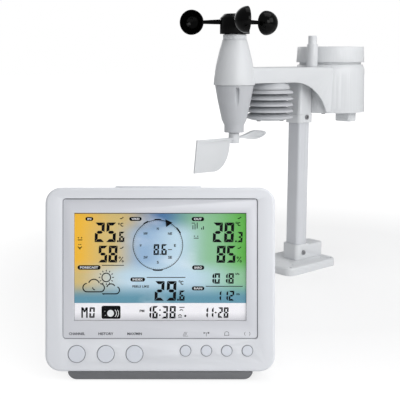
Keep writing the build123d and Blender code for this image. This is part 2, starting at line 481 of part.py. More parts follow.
vane_shaft_top = LOW_CONE[2][1] + GAP
with BuildPart() as vane_shaft:
    with Locations((WIND_X, 0, VANE_HUB_BOTTOM + WALL)):
        Cylinder(VANE_SHAFT_R, vane_shaft_top - VANE_HUB_BOTTOM - WALL, align=LOW)
keep("vane_shaft", vane_shaft)

with BuildPart() as vane_magnet:
    with Locations((WIND_X, 0, vane_shaft_top)):
        Cylinder(MAGNET_R, MAGNET_T, align=LOW)
keep("vane_magnet", vane_magnet)


# ---------------------------------------------------------------- radiation shield
def louvre(tip, bore):
    """Adds one louvre to the open part: a flat ring with a skirt that slopes down to its tip."""
    flat = tip + LOUVRE_RISE
    turned([(bore, flat), (SHIELD_FLAT_R, flat), (SHIELD_R - LOUVRE_T, tip - LOUVRE_T),
            (SHIELD_R, tip - LOUVRE_T), (SHIELD_R, tip), (SHIELD_FLAT_R, flat + LOUVRE_T),
            (bore, flat + LOUVRE_T)], SHIELD_X)


def stud_cylinders(radius, bottom, top, mode=Mode.ADD):
    """Adds or cuts the same upright cylinder at each stud, in the open part."""
    with Locations(*[(x, y, bottom) for x, y in stud_points]):
        Cylinder(radius, top - bottom, align=LOW, mode=mode)


flat_top = SHIELD_FIRST_TIP + LOUVRE_RISE + LOUVRE_T
with BuildPart() as shield_top:
    louvre(SHIELD_FIRST_TIP, 0)
    stud_cylinders(SPACER_R, flat_top, ARM_BOTTOM)
    stud_cylinders(STUD_R + FIT, flat_top - PAST - LOUVRE_T, ARM_BOTTOM, Mode.SUBTRACT)
keep("shield_top", shield_top)

with BuildPart() as shield_louvres:
    for level in range(1, OPEN_LOUVRES + 1):
        louvre(SHIELD_FIRST_TIP - level * SHIELD_PITCH, SHIELD_BORE)
        bottom = flat_top - level * SHIELD_PITCH
        stud_cylinders(SPACER_R, bottom, bottom + SHIELD_PITCH - LOUVRE_T)
    stud_cylinders(STUD_R + FIT, ARM_BOTTOM / 2, ARM_BOTTOM, Mode.SUBTRACT)
keep("shield_louvres", shield_louvres)

base_tip = SHIELD_FIRST_TIP - (OPEN_LOUVRES + 1) * SHIELD_PITCH
base_top = base_tip + LOUVRE_RISE + LOUVRE_T
base_bottom = base_tip - SHIELD_BASE_T
with BuildPart() as shield_base:
    turned([(0, base_bottom), (SHIELD_FLAT_R, base_bottom), (SHIELD_R - LOUVRE_T, base_tip - LOUVRE_T),
            (SHIELD_R, base_tip - LOUVRE_T), (SHIELD_R, base_tip), (SHIELD_FLAT_R, base_top),
            (SHIELD_FLAT_R - LOUVRE_T, base_top), (SHIELD_FLAT_R - LOUVRE_T, base_bottom + LOUVRE_T),
            (0, base_bottom + LOUVRE_T)], SHIELD_X)
    stud_cylinders(SPACER_R, base_bottom, base_top + SHIELD_PITCH - LOUVRE_T)
    stud_cylinders(STUD_R + FIT, ARM_BOTTOM / 2, ARM_BOTTOM, Mode.SUBTRACT)
keep("shield_base", shield_base)

with BuildPart() as shield_studs:
    stud_cylinders(STUD_HEAD_R, base_bottom - STUD_R, base_bottom)
    stud_cylinders(STUD_R, base_bottom - STUD_R, ARM_BOTTOM + COVER_T)
keep("shield_studs", shield_studs)

with BuildPart() as climate_probe:
    with Locations((SHIELD_X, 0, flat_top - LOUVRE_T - PROBE_L)):
        Box(PROBE_W, BOARD_T, PROBE_L, align=LOW)
    with Locations((SHIELD_X, -BOARD_T, flat_top - LOUVRE_T - PROBE_L)):
        Box(PROBE_W / 2, 2 * BOARD_T, PROBE_W / 2, align=LOW)
keep("climate_probe", climate_probe)


# ---------------------------------------------------------------- rain gauge
floor_screws = [(GAUGE_X + FLOOR_SCREW_RING * cos(radians(a)), FLOOR_SCREW_RING * sin(radians(a)))
                for a in (90, 210, 330)]
with BuildPart() as gauge_body:
    bore = SPIGOT_R + GAP
    ledge = SPIGOT_BOTTOM - GAP
    turned([(BODY_R_BOTTOM, BODY_BOTTOM), (BODY_R_TOP, SHOULDER_Z), (DECK_R, DECK_Z), (bore, DECK_Z),
            (bore, ledge), (bore - LEDGE_W, ledge), (bore - LEDGE_W, ledge - WALL),
            (BODY_R_TOP - WALL, ledge - WALL), (BODY_R_BOTTOM - WALL, BODY_BOTTOM)], GAUGE_X)
    with Locations(*[(x, y, BODY_BOTTOM + FLOOR_T) for x, y in floor_screws]):
        Cylinder(FLOOR_BOSS_R, FLOOR_BOSS_H, align=LOW)
        Cylinder(FLOOR_SCREW_R + FIT, FLOOR_BOSS_H, align=LOW, mode=Mode.SUBTRACT)
keep("gauge_body", gauge_body)

door_top = BODY_BOTTOM + DOOR_T
cell_z = door_top + GAP + CELL_R
well_roof = cell_z + CELL_R + GAP
with BuildPart() as gauge_floor:
    with Locations((GAUGE_X, 0, BODY_BOTTOM)):
        Cylinder(BODY_R_BOTTOM - WALL - GAP, FLOOR_T, align=LOW)
    with Locations((GAUGE_X, WELL_Y, BODY_BOTTOM)):
        Box(WELL_L + 2 * WELL_WALL, WELL_W + 2 * WELL_WALL, well_roof + WELL_WALL - BODY_BOTTOM, align=LOW)
        Box(WELL_L, WELL_W, well_roof - BODY_BOTTOM, align=LOW, mode=Mode.SUBTRACT)
    # ears that carry the bucket's axle
    ear_mid = BUCKET_W / 2 + GAP + EAR_T / 2 + PAST
    for side, foot in ((-1, BODY_BOTTOM + FLOOR_T), (1, well_roof + WELL_WALL)):
        with Locations((GAUGE_X, side * ear_mid, foot)):
            Box(EAR_W, EAR_T, PIVOT_Z + EAR_OVER - foot, align=LOW)
    with Locations((GAUGE_X, 0, PIVOT_Z)):
        Cylinder(AXLE_R + RUN, 4 * BUCKET_W, rotation=(90, 0, 0), mode=Mode.SUBTRACT)
    # stop pegs under the two ends of the bucket
    tilt = radians(BUCKET_TILT)
    sole = BUCKET_KEEL + (BUCKET_END - BUCKET_KEEL) * PEG_X / BUCKET_HALF
    peg_top = PIVOT_Z - PEG_X * sin(tilt) + sole * cos(tilt) - 2 * GAP
    with Locations(*[(GAUGE_X + side * PEG_X, 0, well_roof + WELL_WALL / 2) for side in (-1, 1)]):
        Cylinder(PEG_R, peg_top - well_roof - WELL_WALL / 2, align=LOW)
    # drain hole and screw holes
    with Locations((GAUGE_X + DRAIN_X, DRAIN_Y, BODY_BOTTOM)):
        Box(DRAIN_L - 4 * DRAIN_WALL, DRAIN_W - 4 * DRAIN_WALL, 2 * FLOOR_T, mode=Mode.SUBTRACT)
    with Locations(*[(x, y, BODY_BOTTOM) for x, y in floor_screws]):
        Cylinder(FLOOR_SCREW_R + FIT, 2 * FLOOR_T, mode=Mode.SUBTRACT)
keep("gauge_floor", gauge_floor)

with BuildPart() as floor_screw_set:
    with Locations(*[(x, y, BODY_BOTTOM - FLOOR_SCREW_R) for x, y in floor_screws]):
        Cylinder(2 * FLOOR_SCREW_R, FLOOR_SCREW_R, align=LOW)
        Cylinder(FLOOR_SCREW_R, FLOOR_BOSS_H, align=LOW)
keep("floor_screw_set", floor_screw_set)

with BuildPart() as drain_spout:
    with Locations((GAUGE_X + DRAIN_X, DRAIN_Y, BODY_BOTTOM - DRAIN_H)):
        Box(DRAIN_L, DRAIN_W, DRAIN_H, align=LOW)
    fillet(drain_spout.edges().filter_by(Axis.Z), DRAIN_EDGE)
    fillet(drain_spout.faces().sort_by(Axis.Z)[0].edges(), DRAIN_EDGE / 2)
    with Locations((GAUGE_X + DRAIN_X, DRAIN_Y, BODY_BOTTOM - DRAIN_H + DRAIN_WALL)):
        Box(DRAIN_L - 2 * DRAIN_WALL, DRAIN_W - 2 * DRAIN_WALL, DRAIN_H, align=LOW, mode=Mode.SUBTRACT)
    with Locations((GAUGE_X + DRAIN_X, DRAIN_Y, BODY_BOTTOM - DRAIN_H)):
        with GridLocations(DRAIN_EDGE, DRAIN_EDGE, 3, 4):
            Cylinder(DRAIN_WALL / 2, 4 * DRAIN_WALL, mode=Mode.SUBTRACT)
keep("drain_spout", drain_spout)

with BuildPart() as sensor_battery_door:
    with Locations((GAUGE_X, WELL_Y, BODY_BOTTOM)):
        Box(WELL_L - 2 * GAP, WELL_W - 2 * GAP, DOOR_T, align=LOW)
    with Locations((GAUGE_X, WELL_Y + WELL_W / 3, BODY_BOTTOM)):
        Box(WELL_L / 3, DOOR_T, DOOR_T, mode=Mode.SUBTRACT)
keep("sensor_battery_door", sensor_battery_door)

with BuildPart() as sensor_cells:
    for row in range(CELLS):
        with Locations((GAUGE_X, WELL_Y + (row - (CELLS - 1) / 2) * CELL_PITCH, cell_z)):
            Cylinder(CELL_R, CELL_L, rotation=(0, 90, 0))
            Cylinder(CELL_NUB_R, CELL_L + 2 * CELL_NUB, rotation=(0, 90, 0))
keep("sensor_cells", sensor_cells)

# the bucket rests with its +X end down
tipped = Plane(origin=(GAUGE_X, 0, PIVOT_Z), x_dir=(cos(tilt), 0, -sin(tilt)), z_dir=(0, -1, 0))
bucket_side = [(-BUCKET_HALF, BUCKET_RIM), (-BUCKET_HALF, BUCKET_END), (0, BUCKET_KEEL),
               (BUCKET_HALF, BUCKET_END), (BUCKET_HALF, BUCKET_RIM), (BUCKET_WALL, BUCKET_RIM),
               (0, DIVIDER_TOP), (-BUCKET_WALL, BUCKET_RIM)]
with BuildPart() as tipping_bucket:
    with BuildSketch(tipped.offset(-BUCKET_W / 2)):
        Polygon(*bucket_side, align=None)
    extrude(amount=BUCKET_W)
    for side in (-1, 1):
        with BuildSketch(tipped.offset(BUCKET_WALL - BUCKET_W / 2)):
            far_wall = BUCKET_HALF - BUCKET_WALL
            hollow = ((BUCKET_WALL, DIVIDER_TOP), (2 * BUCKET_WALL + AXLE_R, BUCKET_KEEL + 2 * BUCKET_WALL),
                      (far_wall, BUCKET_END + BUCKET_WALL), (far_wall, DIVIDER_TOP))
            Polygon(*[(side * along, up) for along, up in hollow], align=None)
        extrude(amount=BUCKET_W - 2 * BUCKET_WALL, mode=Mode.SUBTRACT)
    with Locations((GAUGE_X, 0, PIVOT_Z)):
        Cylinder(AXLE_R, 2 * BUCKET_W, rotation=(90, 0, 0), mode=Mode.SUBTRACT)
keep("tipping_bucket", tipping_bucket)

with BuildPart() as bucket_axle:
    with Locations((GAUGE_X, 0, PIVOT_Z)):
        Cylinder(AXLE_R, 2 * AXLE_HALF, rotation=(90, 0, 0))
keep("bucket_axle", bucket_axle)

with BuildPart() as rain_collector:
    slope = (FUNNEL_Z - SPOUT_TOP - LEDGE_W) / (RING_R_TOP - RING_WALL)
    inner_r = SPIGOT_R - SPIGOT_WALL
    turned([(SPOUT_R, SPOUT_BOTTOM), (SPOUT_R, SPOUT_TOP), (inner_r, SPOUT_TOP + slope * (inner_r - SPOUT_R)),
            (inner_r, SPIGOT_BOTTOM), (SPIGOT_R, SPIGOT_BOTTOM), (SPIGOT_R, RING_BOTTOM),
            (RING_R_BOTTOM, RING_BOTTOM), (RING_R_TOP, RING_TOP), (RING_R_TOP - RING_WALL, RING_TOP),
            (RING_R_TOP - RING_WALL / 2, FUNNEL_Z), (SPOUT_BORE, SPOUT_TOP + LEDGE_W),
            (SPOUT_BORE, SPOUT_BOTTOM)], GAUGE_X)
keep("rain_collector", rain_collector)


# ---------------------------------------------------------------- console
turn, lean = radians(TURN), radians(LEAN)
across = Vector(cos(turn), -sin(turn), 0)
away = Vector(sin(turn), cos(turn), 0)
out_of_face = Vector(-away.X * cos(lean), -away.Y * cos(lean), sin(lean))
face = Plane(origin=(CONSOLE_X, CONSOLE_Y, CONSOLE_LIFT), x_dir=across, z_dir=out_of_face)
face_axis = Axis(face.origin, face.z_dir)
side_view = Plane(origin=(CONSOLE_X, CONSOLE_Y, 0), x_dir=away, z_dir=across)
table = Plane(origin=(CONSOLE_X, CONSOLE_Y, 0), x_dir=across, z_dir=(0, 0, 1))
case_screws = [(side * CASE_SCREWS_U, v) for side in (-1, 1) for v in CASE_SCREWS_V]
big_keys = [(u, BIG_V) for u in BIG_US]
small_keys = [(u, SMALL_V) for u in SMALL_US]


def disc(places, radius, start, end, mode=Mode.ADD):
    """Cylinders square to the face, in the open part, between two depths behind it."""
    with BuildSketch(face.offset(-start)) as outline:
        with Locations(*places):
            Circle(radius)
    extrude(outline.sketch, amount=start - end, mode=mode)


def slab(width, height, middle, start, end, corner=0.0, mode=Mode.ADD):
    """A block square to the face, in the open part, between two depths behind it."""
    with BuildSketch(face.offset(-start)) as outline:
        with Locations(middle):
            if corner:
                RectangleRounded(width, height, corner)
            else:
                Rectangle(width, height)
    extrude(outline.sketch, amount=start - end, mode=mode)


centre = (0, FACE_H / 2)
screen_mid = (0, SCREEN_V + SCREEN_H / 2)
panel_mid = (0, PANEL_V + PANEL_H / 2)
bar_depth = FACE_T + GAP + BAR_W / 2
with BuildPart() as console_front:
    slab(FACE_W, FACE_H, centre, 0, SHELL_D, FACE_CORNER)
    fillet(console_front.faces().sort_by(face_axis)[-1].edges(), FACE_EDGE)
    slab(FACE_W - 2 * SHELL_WALL, FACE_H - 2 * SHELL_WALL, centre, FACE_T, SHELL_D, FACE_CORNER - SHELL_WALL,
         Mode.SUBTRACT)
    slab(PANEL_W, PANEL_H, panel_mid, -PAST, PANEL_DEEP, PANEL_CORNER, Mode.SUBTRACT)
    slab(SCREEN_W + 2 * LCD_MARGIN, SCREEN_H + 2 * LCD_MARGIN, screen_mid, 0, FACE_T, 0, Mode.SUBTRACT)
    disc(big_keys, BIG_R + GAP, -PAST, FACE_T, Mode.SUBTRACT)
    disc(small_keys, SMALL_R + GAP, -PAST, FACE_T, Mode.SUBTRACT)
    disc(case_screws, CASE_BOSS_R, FACE_T, SHELL_D - GAP)
    disc(case_screws, CASE_HOLE_R, FACE_T + PAST, SHELL_D, Mode.SUBTRACT)
    board_posts = [(side * BOARD_POST_U, v) for side in (-1, 1) for v in BOARD_POST_V]
    disc(board_posts, BOARD_POST_R, FACE_T, BOARD_DEEP)
    with BuildSketch(face.offset(-bar_depth + BAR_W / 2 + GAP)):
        with Locations((BAR_U, FACE_H)):
            Rectangle(BAR_L + 2 * GAP, 4 * SHELL_WALL)
    extrude(amount=-BAR_W - 2 * GAP, mode=Mode.SUBTRACT)
keep("console_front", console_front)

with BuildPart() as console_back:
    back_w, back_h = FACE_W - 2 * BACK_INSET, FACE_H - 2 * BACK_INSET
    slab(back_w, back_h, centre, SHELL_D - BACK_LAP, BACK_D, FACE_CORNER - BACK_INSET)
    fillet(console_back.faces().sort_by(face_axis)[0].edges(), BACK_EDGE)
    slab(back_w - 2 * SHELL_WALL, back_h - 2 * SHELL_WALL, centre, SHELL_D - BACK_LAP, BACK_D - SHELL_WALL,
         BACK_EDGE, Mode.SUBTRACT)
    disc(case_screws, CASE_HEAD_R + GAP + CASE_POST_WALL, SHELL_D, BACK_D - SHELL_WALL / 2)
    disc(case_screws, CASE_HOLE_R + FIT, SHELL_D - PAST, BACK_D, Mode.SUBTRACT)
    disc(case_screws, CASE_HEAD_R + GAP, CASE_SEAT, BACK_D + PAST, Mode.SUBTRACT)
    bay, bay_floor, rebate = (0, BAY_V), BACK_D - BAY_D, BACK_D - DOOR_T / 2
    seat_w, seat_l = WELL_W + 2 * BAY_LEDGE, WELL_L + 2 * BAY_LEDGE
    slab(WELL_W + 2 * WELL_WALL, WELL_L + 2 * WELL_WALL, bay, bay_floor - WELL_WALL, BACK_D - SHELL_WALL / 2)
    slab(WELL_W, WELL_L, bay, bay_floor, BACK_D + PAST, 0, Mode.SUBTRACT)
    slab(seat_w, seat_l, bay, rebate, BACK_D + PAST, 0, Mode.SUBTRACT)
    for side in (-1, 1):
        hang = (side * KEYHOLE_U, KEYHOLE_V)
        disc([hang], KEYHOLE_R, BACK_D - 2 * SHELL_WALL, BACK_D + PAST, Mode.SUBTRACT)
        slab(2 * KEYHOLE_SLOT_R, KEYHOLE_RISE, (hang[0], hang[1] + KEYHOLE_RISE / 2), BACK_D - 2 * SHELL_WALL,
             BACK_D + PAST, 0, Mode.SUBTRACT)
    with BuildSketch(face.offset(-BACK_D - PAST)):
        with Locations((GRILLE_U, GRILLE_V)):
            Circle(GRILLE_R)
            with PolarLocations(GRILLE_RING, 6):
                Circle(GRILLE_R)
    extrude(amount=2 * SHELL_WALL, mode=Mode.SUBTRACT)
    disc([(JACK_U, JACK_V)], JACK_MOUTH_R, BACK_D - 2 * SHELL_WALL, BACK_D + PAST, Mode.SUBTRACT)
keep("console_back", console_back)

with BuildPart() as display_panel:
    panel_front = PANEL_DEEP - PANEL_T
    slab(PANEL_W - 2 * FIT, PANEL_H - 2 * FIT, panel_mid, panel_front, PANEL_DEEP, PANEL_CORNER - FIT)
    slab(SCREEN_W, SCREEN_H, screen_mid, 0, PANEL_DEEP, 0, Mode.SUBTRACT)
keep("display_panel", display_panel)

with BuildPart() as screen_window:
    slab(SCREEN_W - 2 * FIT, SCREEN_H - 2 * FIT, screen_mid, PANEL_DEEP - GLASS_T, PANEL_DEEP)
keep("screen_window", screen_window)

lcd_w, lcd_h = SCREEN_W + 2 * (LCD_MARGIN - GAP), SCREEN_H + 2 * (LCD_MARGIN - GAP)
with BuildPart() as lcd_module:
    slab(lcd_w, lcd_h, screen_mid, PANEL_DEEP + GAP, BOARD_DEEP)
keep("lcd_module", lcd_module)

with BuildPart() as console_board:
    slab(BOARD_W, BOARD_H, (0, BOARD_V + BOARD_H / 2), BOARD_DEEP, BOARD_DEEP + BOARD_T)
keep("console_board", console_board)

key_back = FACE_T + GAP + KEY_FLANGE_T
switch_top = key_back + KEY_STEM + KEY_TRAVEL + GAP
bar_foot = FACE_H - SHELL_WALL - BAR_DEEP - BAR_STEM
switch_v = bar_foot - BAR_TRAVEL - GAP
with BuildPart() as tact_switches:
    disc(big_keys + small_keys, SWITCH_R, switch_top, BOARD_DEEP)
    switch_foot, stem_front = BOARD_V + BOARD_H - SWITCH_LAP, bar_depth - BAR_STEM_T / 2
    slab(BAR_STEM, switch_v - switch_foot, (BAR_U, (switch_v + switch_foot) / 2), stem_front, BOARD_DEEP)
keep("tact_switches", tact_switches)


def push_key(name, place, radius):
    """One round key: a cap through the face, a flange behind it and a stem towards its switch."""
    with BuildPart() as key:
        disc([place], radius, -KEY_PROUD, key_back)
        fillet(key.edges().sort_by(face_axis)[-1], KEY_PROUD / 2)
        disc([place], radius + KEY_FLANGE, FACE_T + GAP, key_back)
        disc([place], KEY_STEM_R, key_back, key_back + KEY_STEM)
    keep(name, key)


for number, place in enumerate(big_keys, 1):
    push_key(f"large_key_{number}", place, BIG_R)
for number, place in enumerate(small_keys, 1):
    push_key(f"small_key_{number}", place, SMALL_R)

with BuildPart() as snooze_bar:
    bar_front, bar_rear = bar_depth - BAR_W / 2, bar_depth + BAR_W / 2
    under_wall = FACE_H - SHELL_WALL - GAP
    cap_h = FACE_H + BAR_PROUD - under_wall + BAR_FLANGE
    slab(BAR_L, cap_h, (BAR_U, FACE_H + BAR_PROUD - cap_h / 2), bar_front, bar_rear)
    fillet(snooze_bar.faces().sort_by(Axis(face.origin, face.y_dir))[-1].edges(), BAR_PROUD / 2)
    slab(BAR_L + 2 * BAR_LUG, BAR_FLANGE, (BAR_U, under_wall - BAR_FLANGE / 2), bar_front, bar_rear)
    stem_h = under_wall - BAR_FLANGE - bar_foot
    slab(BAR_STEM, stem_h, (BAR_U, bar_foot + stem_h / 2), stem_front, stem_front + BAR_STEM_T)
keep("snooze_bar", snooze_bar)

with BuildPart() as console_battery_door:
    slab(seat_w - 2 * GAP, seat_l - 2 * GAP, bay, rebate, BACK_D)
    slab(WELL_W / 3, DOOR_T, (0, BAY_V + WELL_L / 3), rebate + DOOR_T / 4, BACK_D + PAST, 0, Mode.SUBTRACT)
keep("console_battery_door", console_battery_door)

with BuildPart() as console_cells:
    cell_depth = bay_floor + GAP + CELL_R
    for row in range(CELLS):
        along = Vector(*face.from_local_coords(((row - (CELLS - 1) / 2) * CELL_PITCH, BAY_V, -cell_depth)))
        lying = Plane(origin=along, x_dir=across, z_dir=face.y_dir)
        with BuildSketch(lying.offset(-CELL_L / 2)):
            Circle(CELL_R)
        extrude(amount=CELL_L)
        with BuildSketch(lying.offset(-CELL_L / 2 - CELL_NUB)):
            Circle(CELL_NUB_R)
        extrude(amount=CELL_L + 2 * CELL_NUB)
keep("console_cells", console_cells)

with BuildPart() as console_screws:
    disc(case_screws, CASE_HEAD_R, CASE_SEAT, CASE_SEAT + CASE_HEAD_T)
    disc(case_screws, CASE_HOLE_R - FIT, FACE_T + 2 * PAST, CASE_SEAT)
keep("console_screws", console_screws)

with BuildPart() as buzzer:
    inner_back = BACK_D - SHELL_WALL
    disc([(GRILLE_U, GRILLE_V)], BUZZER_R, inner_back - BUZZER_T, inner_back)
    disc([(GRILLE_U, GRILLE_V)], BUZZER_R / 2, inner_back - BUZZER_T / 2, inner_back, Mode.SUBTRACT)
keep("buzzer", buzzer)

with BuildPart() as power_jack:
    slab(JACK_W, JACK_H, (JACK_U, JACK_V), inner_back - JACK_D, inner_back)
    disc([(JACK_U, JACK_V)], JACK_BORE, BACK_D - JACK_D, BACK_D, Mode.SUBTRACT)
keep("power_jack", power_jack)


def section(v, depth):
    """Point of the side view that lies v up the face and depth behind it."""
    return (depth * cos(lean) + v * sin(lean), CONSOLE_LIFT - depth * sin(lean) + v * cos(lean))


plate_bottom = PAD_T - PAD_SUNK
rest_front = BACK_D + GAP
toe = section(-GAP, STAND_SET_BACK)
heel = section(-GAP, rest_front)
with BuildPart() as table_stand:
    with BuildSketch(side_view.offset(-STAND_W / 2)):
        Polygon(toe, heel, (STAND_DEEP, plate_bottom + STAND_T), (STAND_DEEP, plate_bottom),
                (toe[0], plate_bottom), align=None)
    extrude(amount=STAND_W)
    rest_foot = section(0, rest_front + REST_T)[0] + REST_T
    with BuildSketch(side_view.offset(-REST_W / 2)):
        Polygon(heel, section(REST_H, rest_front), section(REST_H, rest_front + REST_T),
                (rest_foot, plate_bottom), (heel[0], plate_bottom), align=None)
    extrude(amount=REST_W)
    # seen from the front, its lower corners are round
    with BuildSketch(Plane(origin=(CONSOLE_X, CONSOLE_Y, plate_bottom), x_dir=across, z_dir=-away)):
        with Locations((0, 2 * REST_H)):
            RectangleRounded(STAND_W, 4 * REST_H, STAND_CORNER)
    extrude(amount=2 * STAND_DEEP, both=True, mode=Mode.INTERSECT)
    pads = [(side * PAD_U, reach) for side in (-1, 1) for reach in PAD_AWAYS]
    with BuildSketch(table):
        with Locations(*pads):
            Circle(PAD_R + FIT)
    extrude(amount=PAD_T, mode=Mode.SUBTRACT)
keep("table_stand", table_stand)

with BuildPart() as stand_pads:
    with BuildSketch(table):
        with Locations(*pads):
            Circle(PAD_R)
    extrude(amount=PAD_T)
keep("stand_pads", stand_pads)
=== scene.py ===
# %% [markdown]
# # A home weather station
# This notebook dresses a home weather station: a wind, rain and climate sensor on a square pole, and the
# colour display console that reads it. The exact model comes in as a fixed frame. We give its mouldings soft
# edges and real finishes, and draw the display on top. Every cell prints what it made.

# %% Load the frame
import bmesh
import bpy
import json
from math import cos, pi, radians, sin
from mathutils import Matrix, Vector

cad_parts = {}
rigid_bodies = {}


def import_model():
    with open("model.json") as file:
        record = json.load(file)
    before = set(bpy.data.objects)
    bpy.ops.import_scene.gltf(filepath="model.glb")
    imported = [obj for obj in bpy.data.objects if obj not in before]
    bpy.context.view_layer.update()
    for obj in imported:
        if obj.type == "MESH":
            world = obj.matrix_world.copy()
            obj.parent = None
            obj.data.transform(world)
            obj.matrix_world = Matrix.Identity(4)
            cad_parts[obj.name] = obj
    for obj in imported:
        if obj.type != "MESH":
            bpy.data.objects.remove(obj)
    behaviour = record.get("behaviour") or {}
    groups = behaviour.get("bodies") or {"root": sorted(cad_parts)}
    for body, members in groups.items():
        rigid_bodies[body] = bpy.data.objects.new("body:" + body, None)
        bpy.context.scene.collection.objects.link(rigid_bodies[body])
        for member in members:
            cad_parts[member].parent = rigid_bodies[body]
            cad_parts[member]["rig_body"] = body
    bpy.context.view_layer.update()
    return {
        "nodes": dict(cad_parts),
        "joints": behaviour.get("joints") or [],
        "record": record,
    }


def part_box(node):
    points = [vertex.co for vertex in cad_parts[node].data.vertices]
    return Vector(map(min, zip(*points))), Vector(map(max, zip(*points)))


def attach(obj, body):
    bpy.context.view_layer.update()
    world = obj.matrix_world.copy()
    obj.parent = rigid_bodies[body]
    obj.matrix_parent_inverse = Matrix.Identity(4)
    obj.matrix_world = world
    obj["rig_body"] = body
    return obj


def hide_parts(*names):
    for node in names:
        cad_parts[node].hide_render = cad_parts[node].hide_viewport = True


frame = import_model()
MM = 0.001

# %% [markdown]
# ## The two directions of the console
# The console stands turned and leans back, so nothing on it lines up with X, Y and Z. Its joints know its
# directions, though: it lifts off its stand straight up its face, and its keys press straight into it. The
# third direction is square to both. With these we can measure any node of the console across, up and out of
# its face.

# %% Axes of the face
joint_axis = {joint["name"]: Vector(joint["axis"]).normalized() for joint in frame["joints"]}
up_face = joint_axis["console_lift"]
out_of_face = -joint_axis["large_press_1"]
across_face = up_face.cross(out_of_face).normalized()
face_turn = Matrix((across_face, up_face, out_of_face)).transposed()


def face_box(node):
    """Lowest and highest corner of a node, measured across, up and out of the console's face."""
    points = [face_turn.transposed() @ vertex.co for vertex in frame["nodes"][node].data.vertices]
    low = Vector([min(point[i] for point in points) for i in range(3)])
    high = Vector([max(point[i] for point in points) for i in range(3)])
    return low, high


screen_low, screen_high = face_box("screen_window")
panel_low, panel_high = face_box("display_panel")
lcd_low, lcd_high = face_box("lcd_module")
screen_w, screen_h = screen_high.x - screen_low.x, screen_high.y - screen_low.y
print("screen", round(screen_w, 4), "x", round(screen_h, 4))

# %% [markdown]
# ## Camera
# The view is that of a product picture: a long lens a little above the table, looking slightly down, from the
# side where the console faces. The camera is placed from the pole, as far to the side, back and up as named
# here.

# %% Place the camera
scene = bpy.context.scene
pole_low, pole_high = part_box("mast_pole")
pole = (pole_low + pole_high) / 2
VIEW_TURN, VIEW_DROP = radians(41.2), radians(10.37)
POLE_RIGHT, POLE_AWAY, EYE_HEIGHT, LENS = 0.1524, 1.1995, 0.3244, 69.9
view_right = Vector((cos(VIEW_TURN), -sin(VIEW_TURN), 0))
view_away = Vector((sin(VIEW_TURN), cos(VIEW_TURN), 0))
camera_data = bpy.data.cameras.new("studio_camera")
camera_data.lens = LENS
camera_data.clip_start = 0.01
camera = bpy.data.objects.new("studio_camera", camera_data)
scene.collection.objects.link(camera)
eye = Vector((pole.x, pole.y, 0)) - view_right * POLE_RIGHT - view_away * POLE_AWAY
camera.location = (eye.x, eye.y, EYE_HEIGHT)
camera.rotation_euler = (radians(90) - VIEW_DROP, 0, -VIEW_TURN)
scene.camera = camera
scene.view_settings.view_transform = "Standard"
print("camera at", [round(value, 3) for value in camera.location])

# %% [markdown]
# ## Light, floor and backdrop
# A pale product is easy to burn out, so the light stays plain: a large soft key from the right, a second soft
# box from the front, one above, one behind, and an even world. The floor and the world look white to the
# camera through Light Path. The floor keeps a part of its real shading there, less of it further away, so
# that the contact shadows stay.


# %% Lights
def area_light(name, place, target, size, power):
    """A square soft box that looks at a target."""
    data = bpy.data.lights.new(name, "AREA")
    data.size = size
    data.energy = power
    lamp = bpy.data.objects.new(name, data)
    lamp.location = place
    lamp.rotation_euler = (Vector(target) - Vector(place)).to_track_quat("-Z", "Y").to_euler()
    scene.collection.objects.link(lamp)
    return lamp


middle = Vector((pole.x, pole.y, 0.2)) - view_away * 0.25 - view_right * 0.15


def around(right, away, up):
    """A place named by its distances from the middle of the product: to its right, away behind it, and up."""
    return middle + view_right * right + view_away * away + Vector((0, 0, up))


KEY_POWER, FRONT_POWER, TOP_POWER, BACK_POWER = 13.0, 13.5, 9.0, 8.0
area_light("key_right", around(1.5, -0.9, 0.9), middle, 1.2, KEY_POWER)
area_light("front", around(0.9, -2.0, 0.7), middle, 1.0, FRONT_POWER)
area_light("top", around(0.4, 0.0, 1.8), middle, 1.4, TOP_POWER)
area_light("back", around(-0.7, 2.2, 1.0), middle, 1.4, BACK_POWER)

world = bpy.data.worlds.new("studio")
scene.world = world
world.use_nodes = True
nodes, links = world.node_tree.nodes, world.node_tree.links
nodes.clear()
path = nodes.new("ShaderNodeLightPath")
seen = nodes.new("ShaderNodeMath")
seen.operation = "MAXIMUM"
links.new(path.outputs["Is Camera Ray"], seen.inputs[0])
links.new(path.outputs["Is Transmission Ray"], seen.inputs[1])
even, white = nodes.new("ShaderNodeBackground"), nodes.new("ShaderNodeBackground")
even.inputs["Color"].default_value = (0.97, 0.98, 1.0, 1)
even.inputs["Strength"].default_value = 0.38
white.inputs["Color"].default_value = (1, 1, 1, 1)
mix, output = nodes.new("ShaderNodeMixShader"), nodes.new("ShaderNodeOutputWorld")
links.new(seen.outputs[0], mix.inputs[0])
links.new(even.outputs[0], mix.inputs[1])
links.new(white.outputs[0], mix.inputs[2])
links.new(mix.outputs[0], output.inputs["Surface"])
print("lights", KEY_POWER, FRONT_POWER, TOP_POWER, BACK_POWER)

# %% Floor
FLOOR_HALF, SHADE_KEPT = 12.0, 0.55
SHADE_NEAR, SHADE_FAR = 0.3, 0.75
floor_mesh = bpy.data.meshes.new("floor")
corners = [(x * FLOOR_HALF, y * FLOOR_HALF, 0) for x, y in ((-1, -1), (1, -1), (1, 1), (-1, 1))]
floor_mesh.from_pydata(corners, [], [(0, 1, 2, 3)])
floor = bpy.data.objects.new("floor", floor_mesh)
scene.collection.objects.link(floor)
floor_paper = bpy.data.materials.new("floor_paper")
floor_paper.use_nodes = True
nodes, links = floor_paper.node_tree.nodes, floor_paper.node_tree.links
nodes.clear()
path, paper = nodes.new("ShaderNodeLightPath"), nodes.new("ShaderNodeBsdfDiffuse")
paper.inputs["Color"].default_value = (0.86, 0.86, 0.86, 1)
glow, kept = nodes.new("ShaderNodeEmission"), nodes.new("ShaderNodeMath")
glow.inputs["Strength"].default_value = 1.15
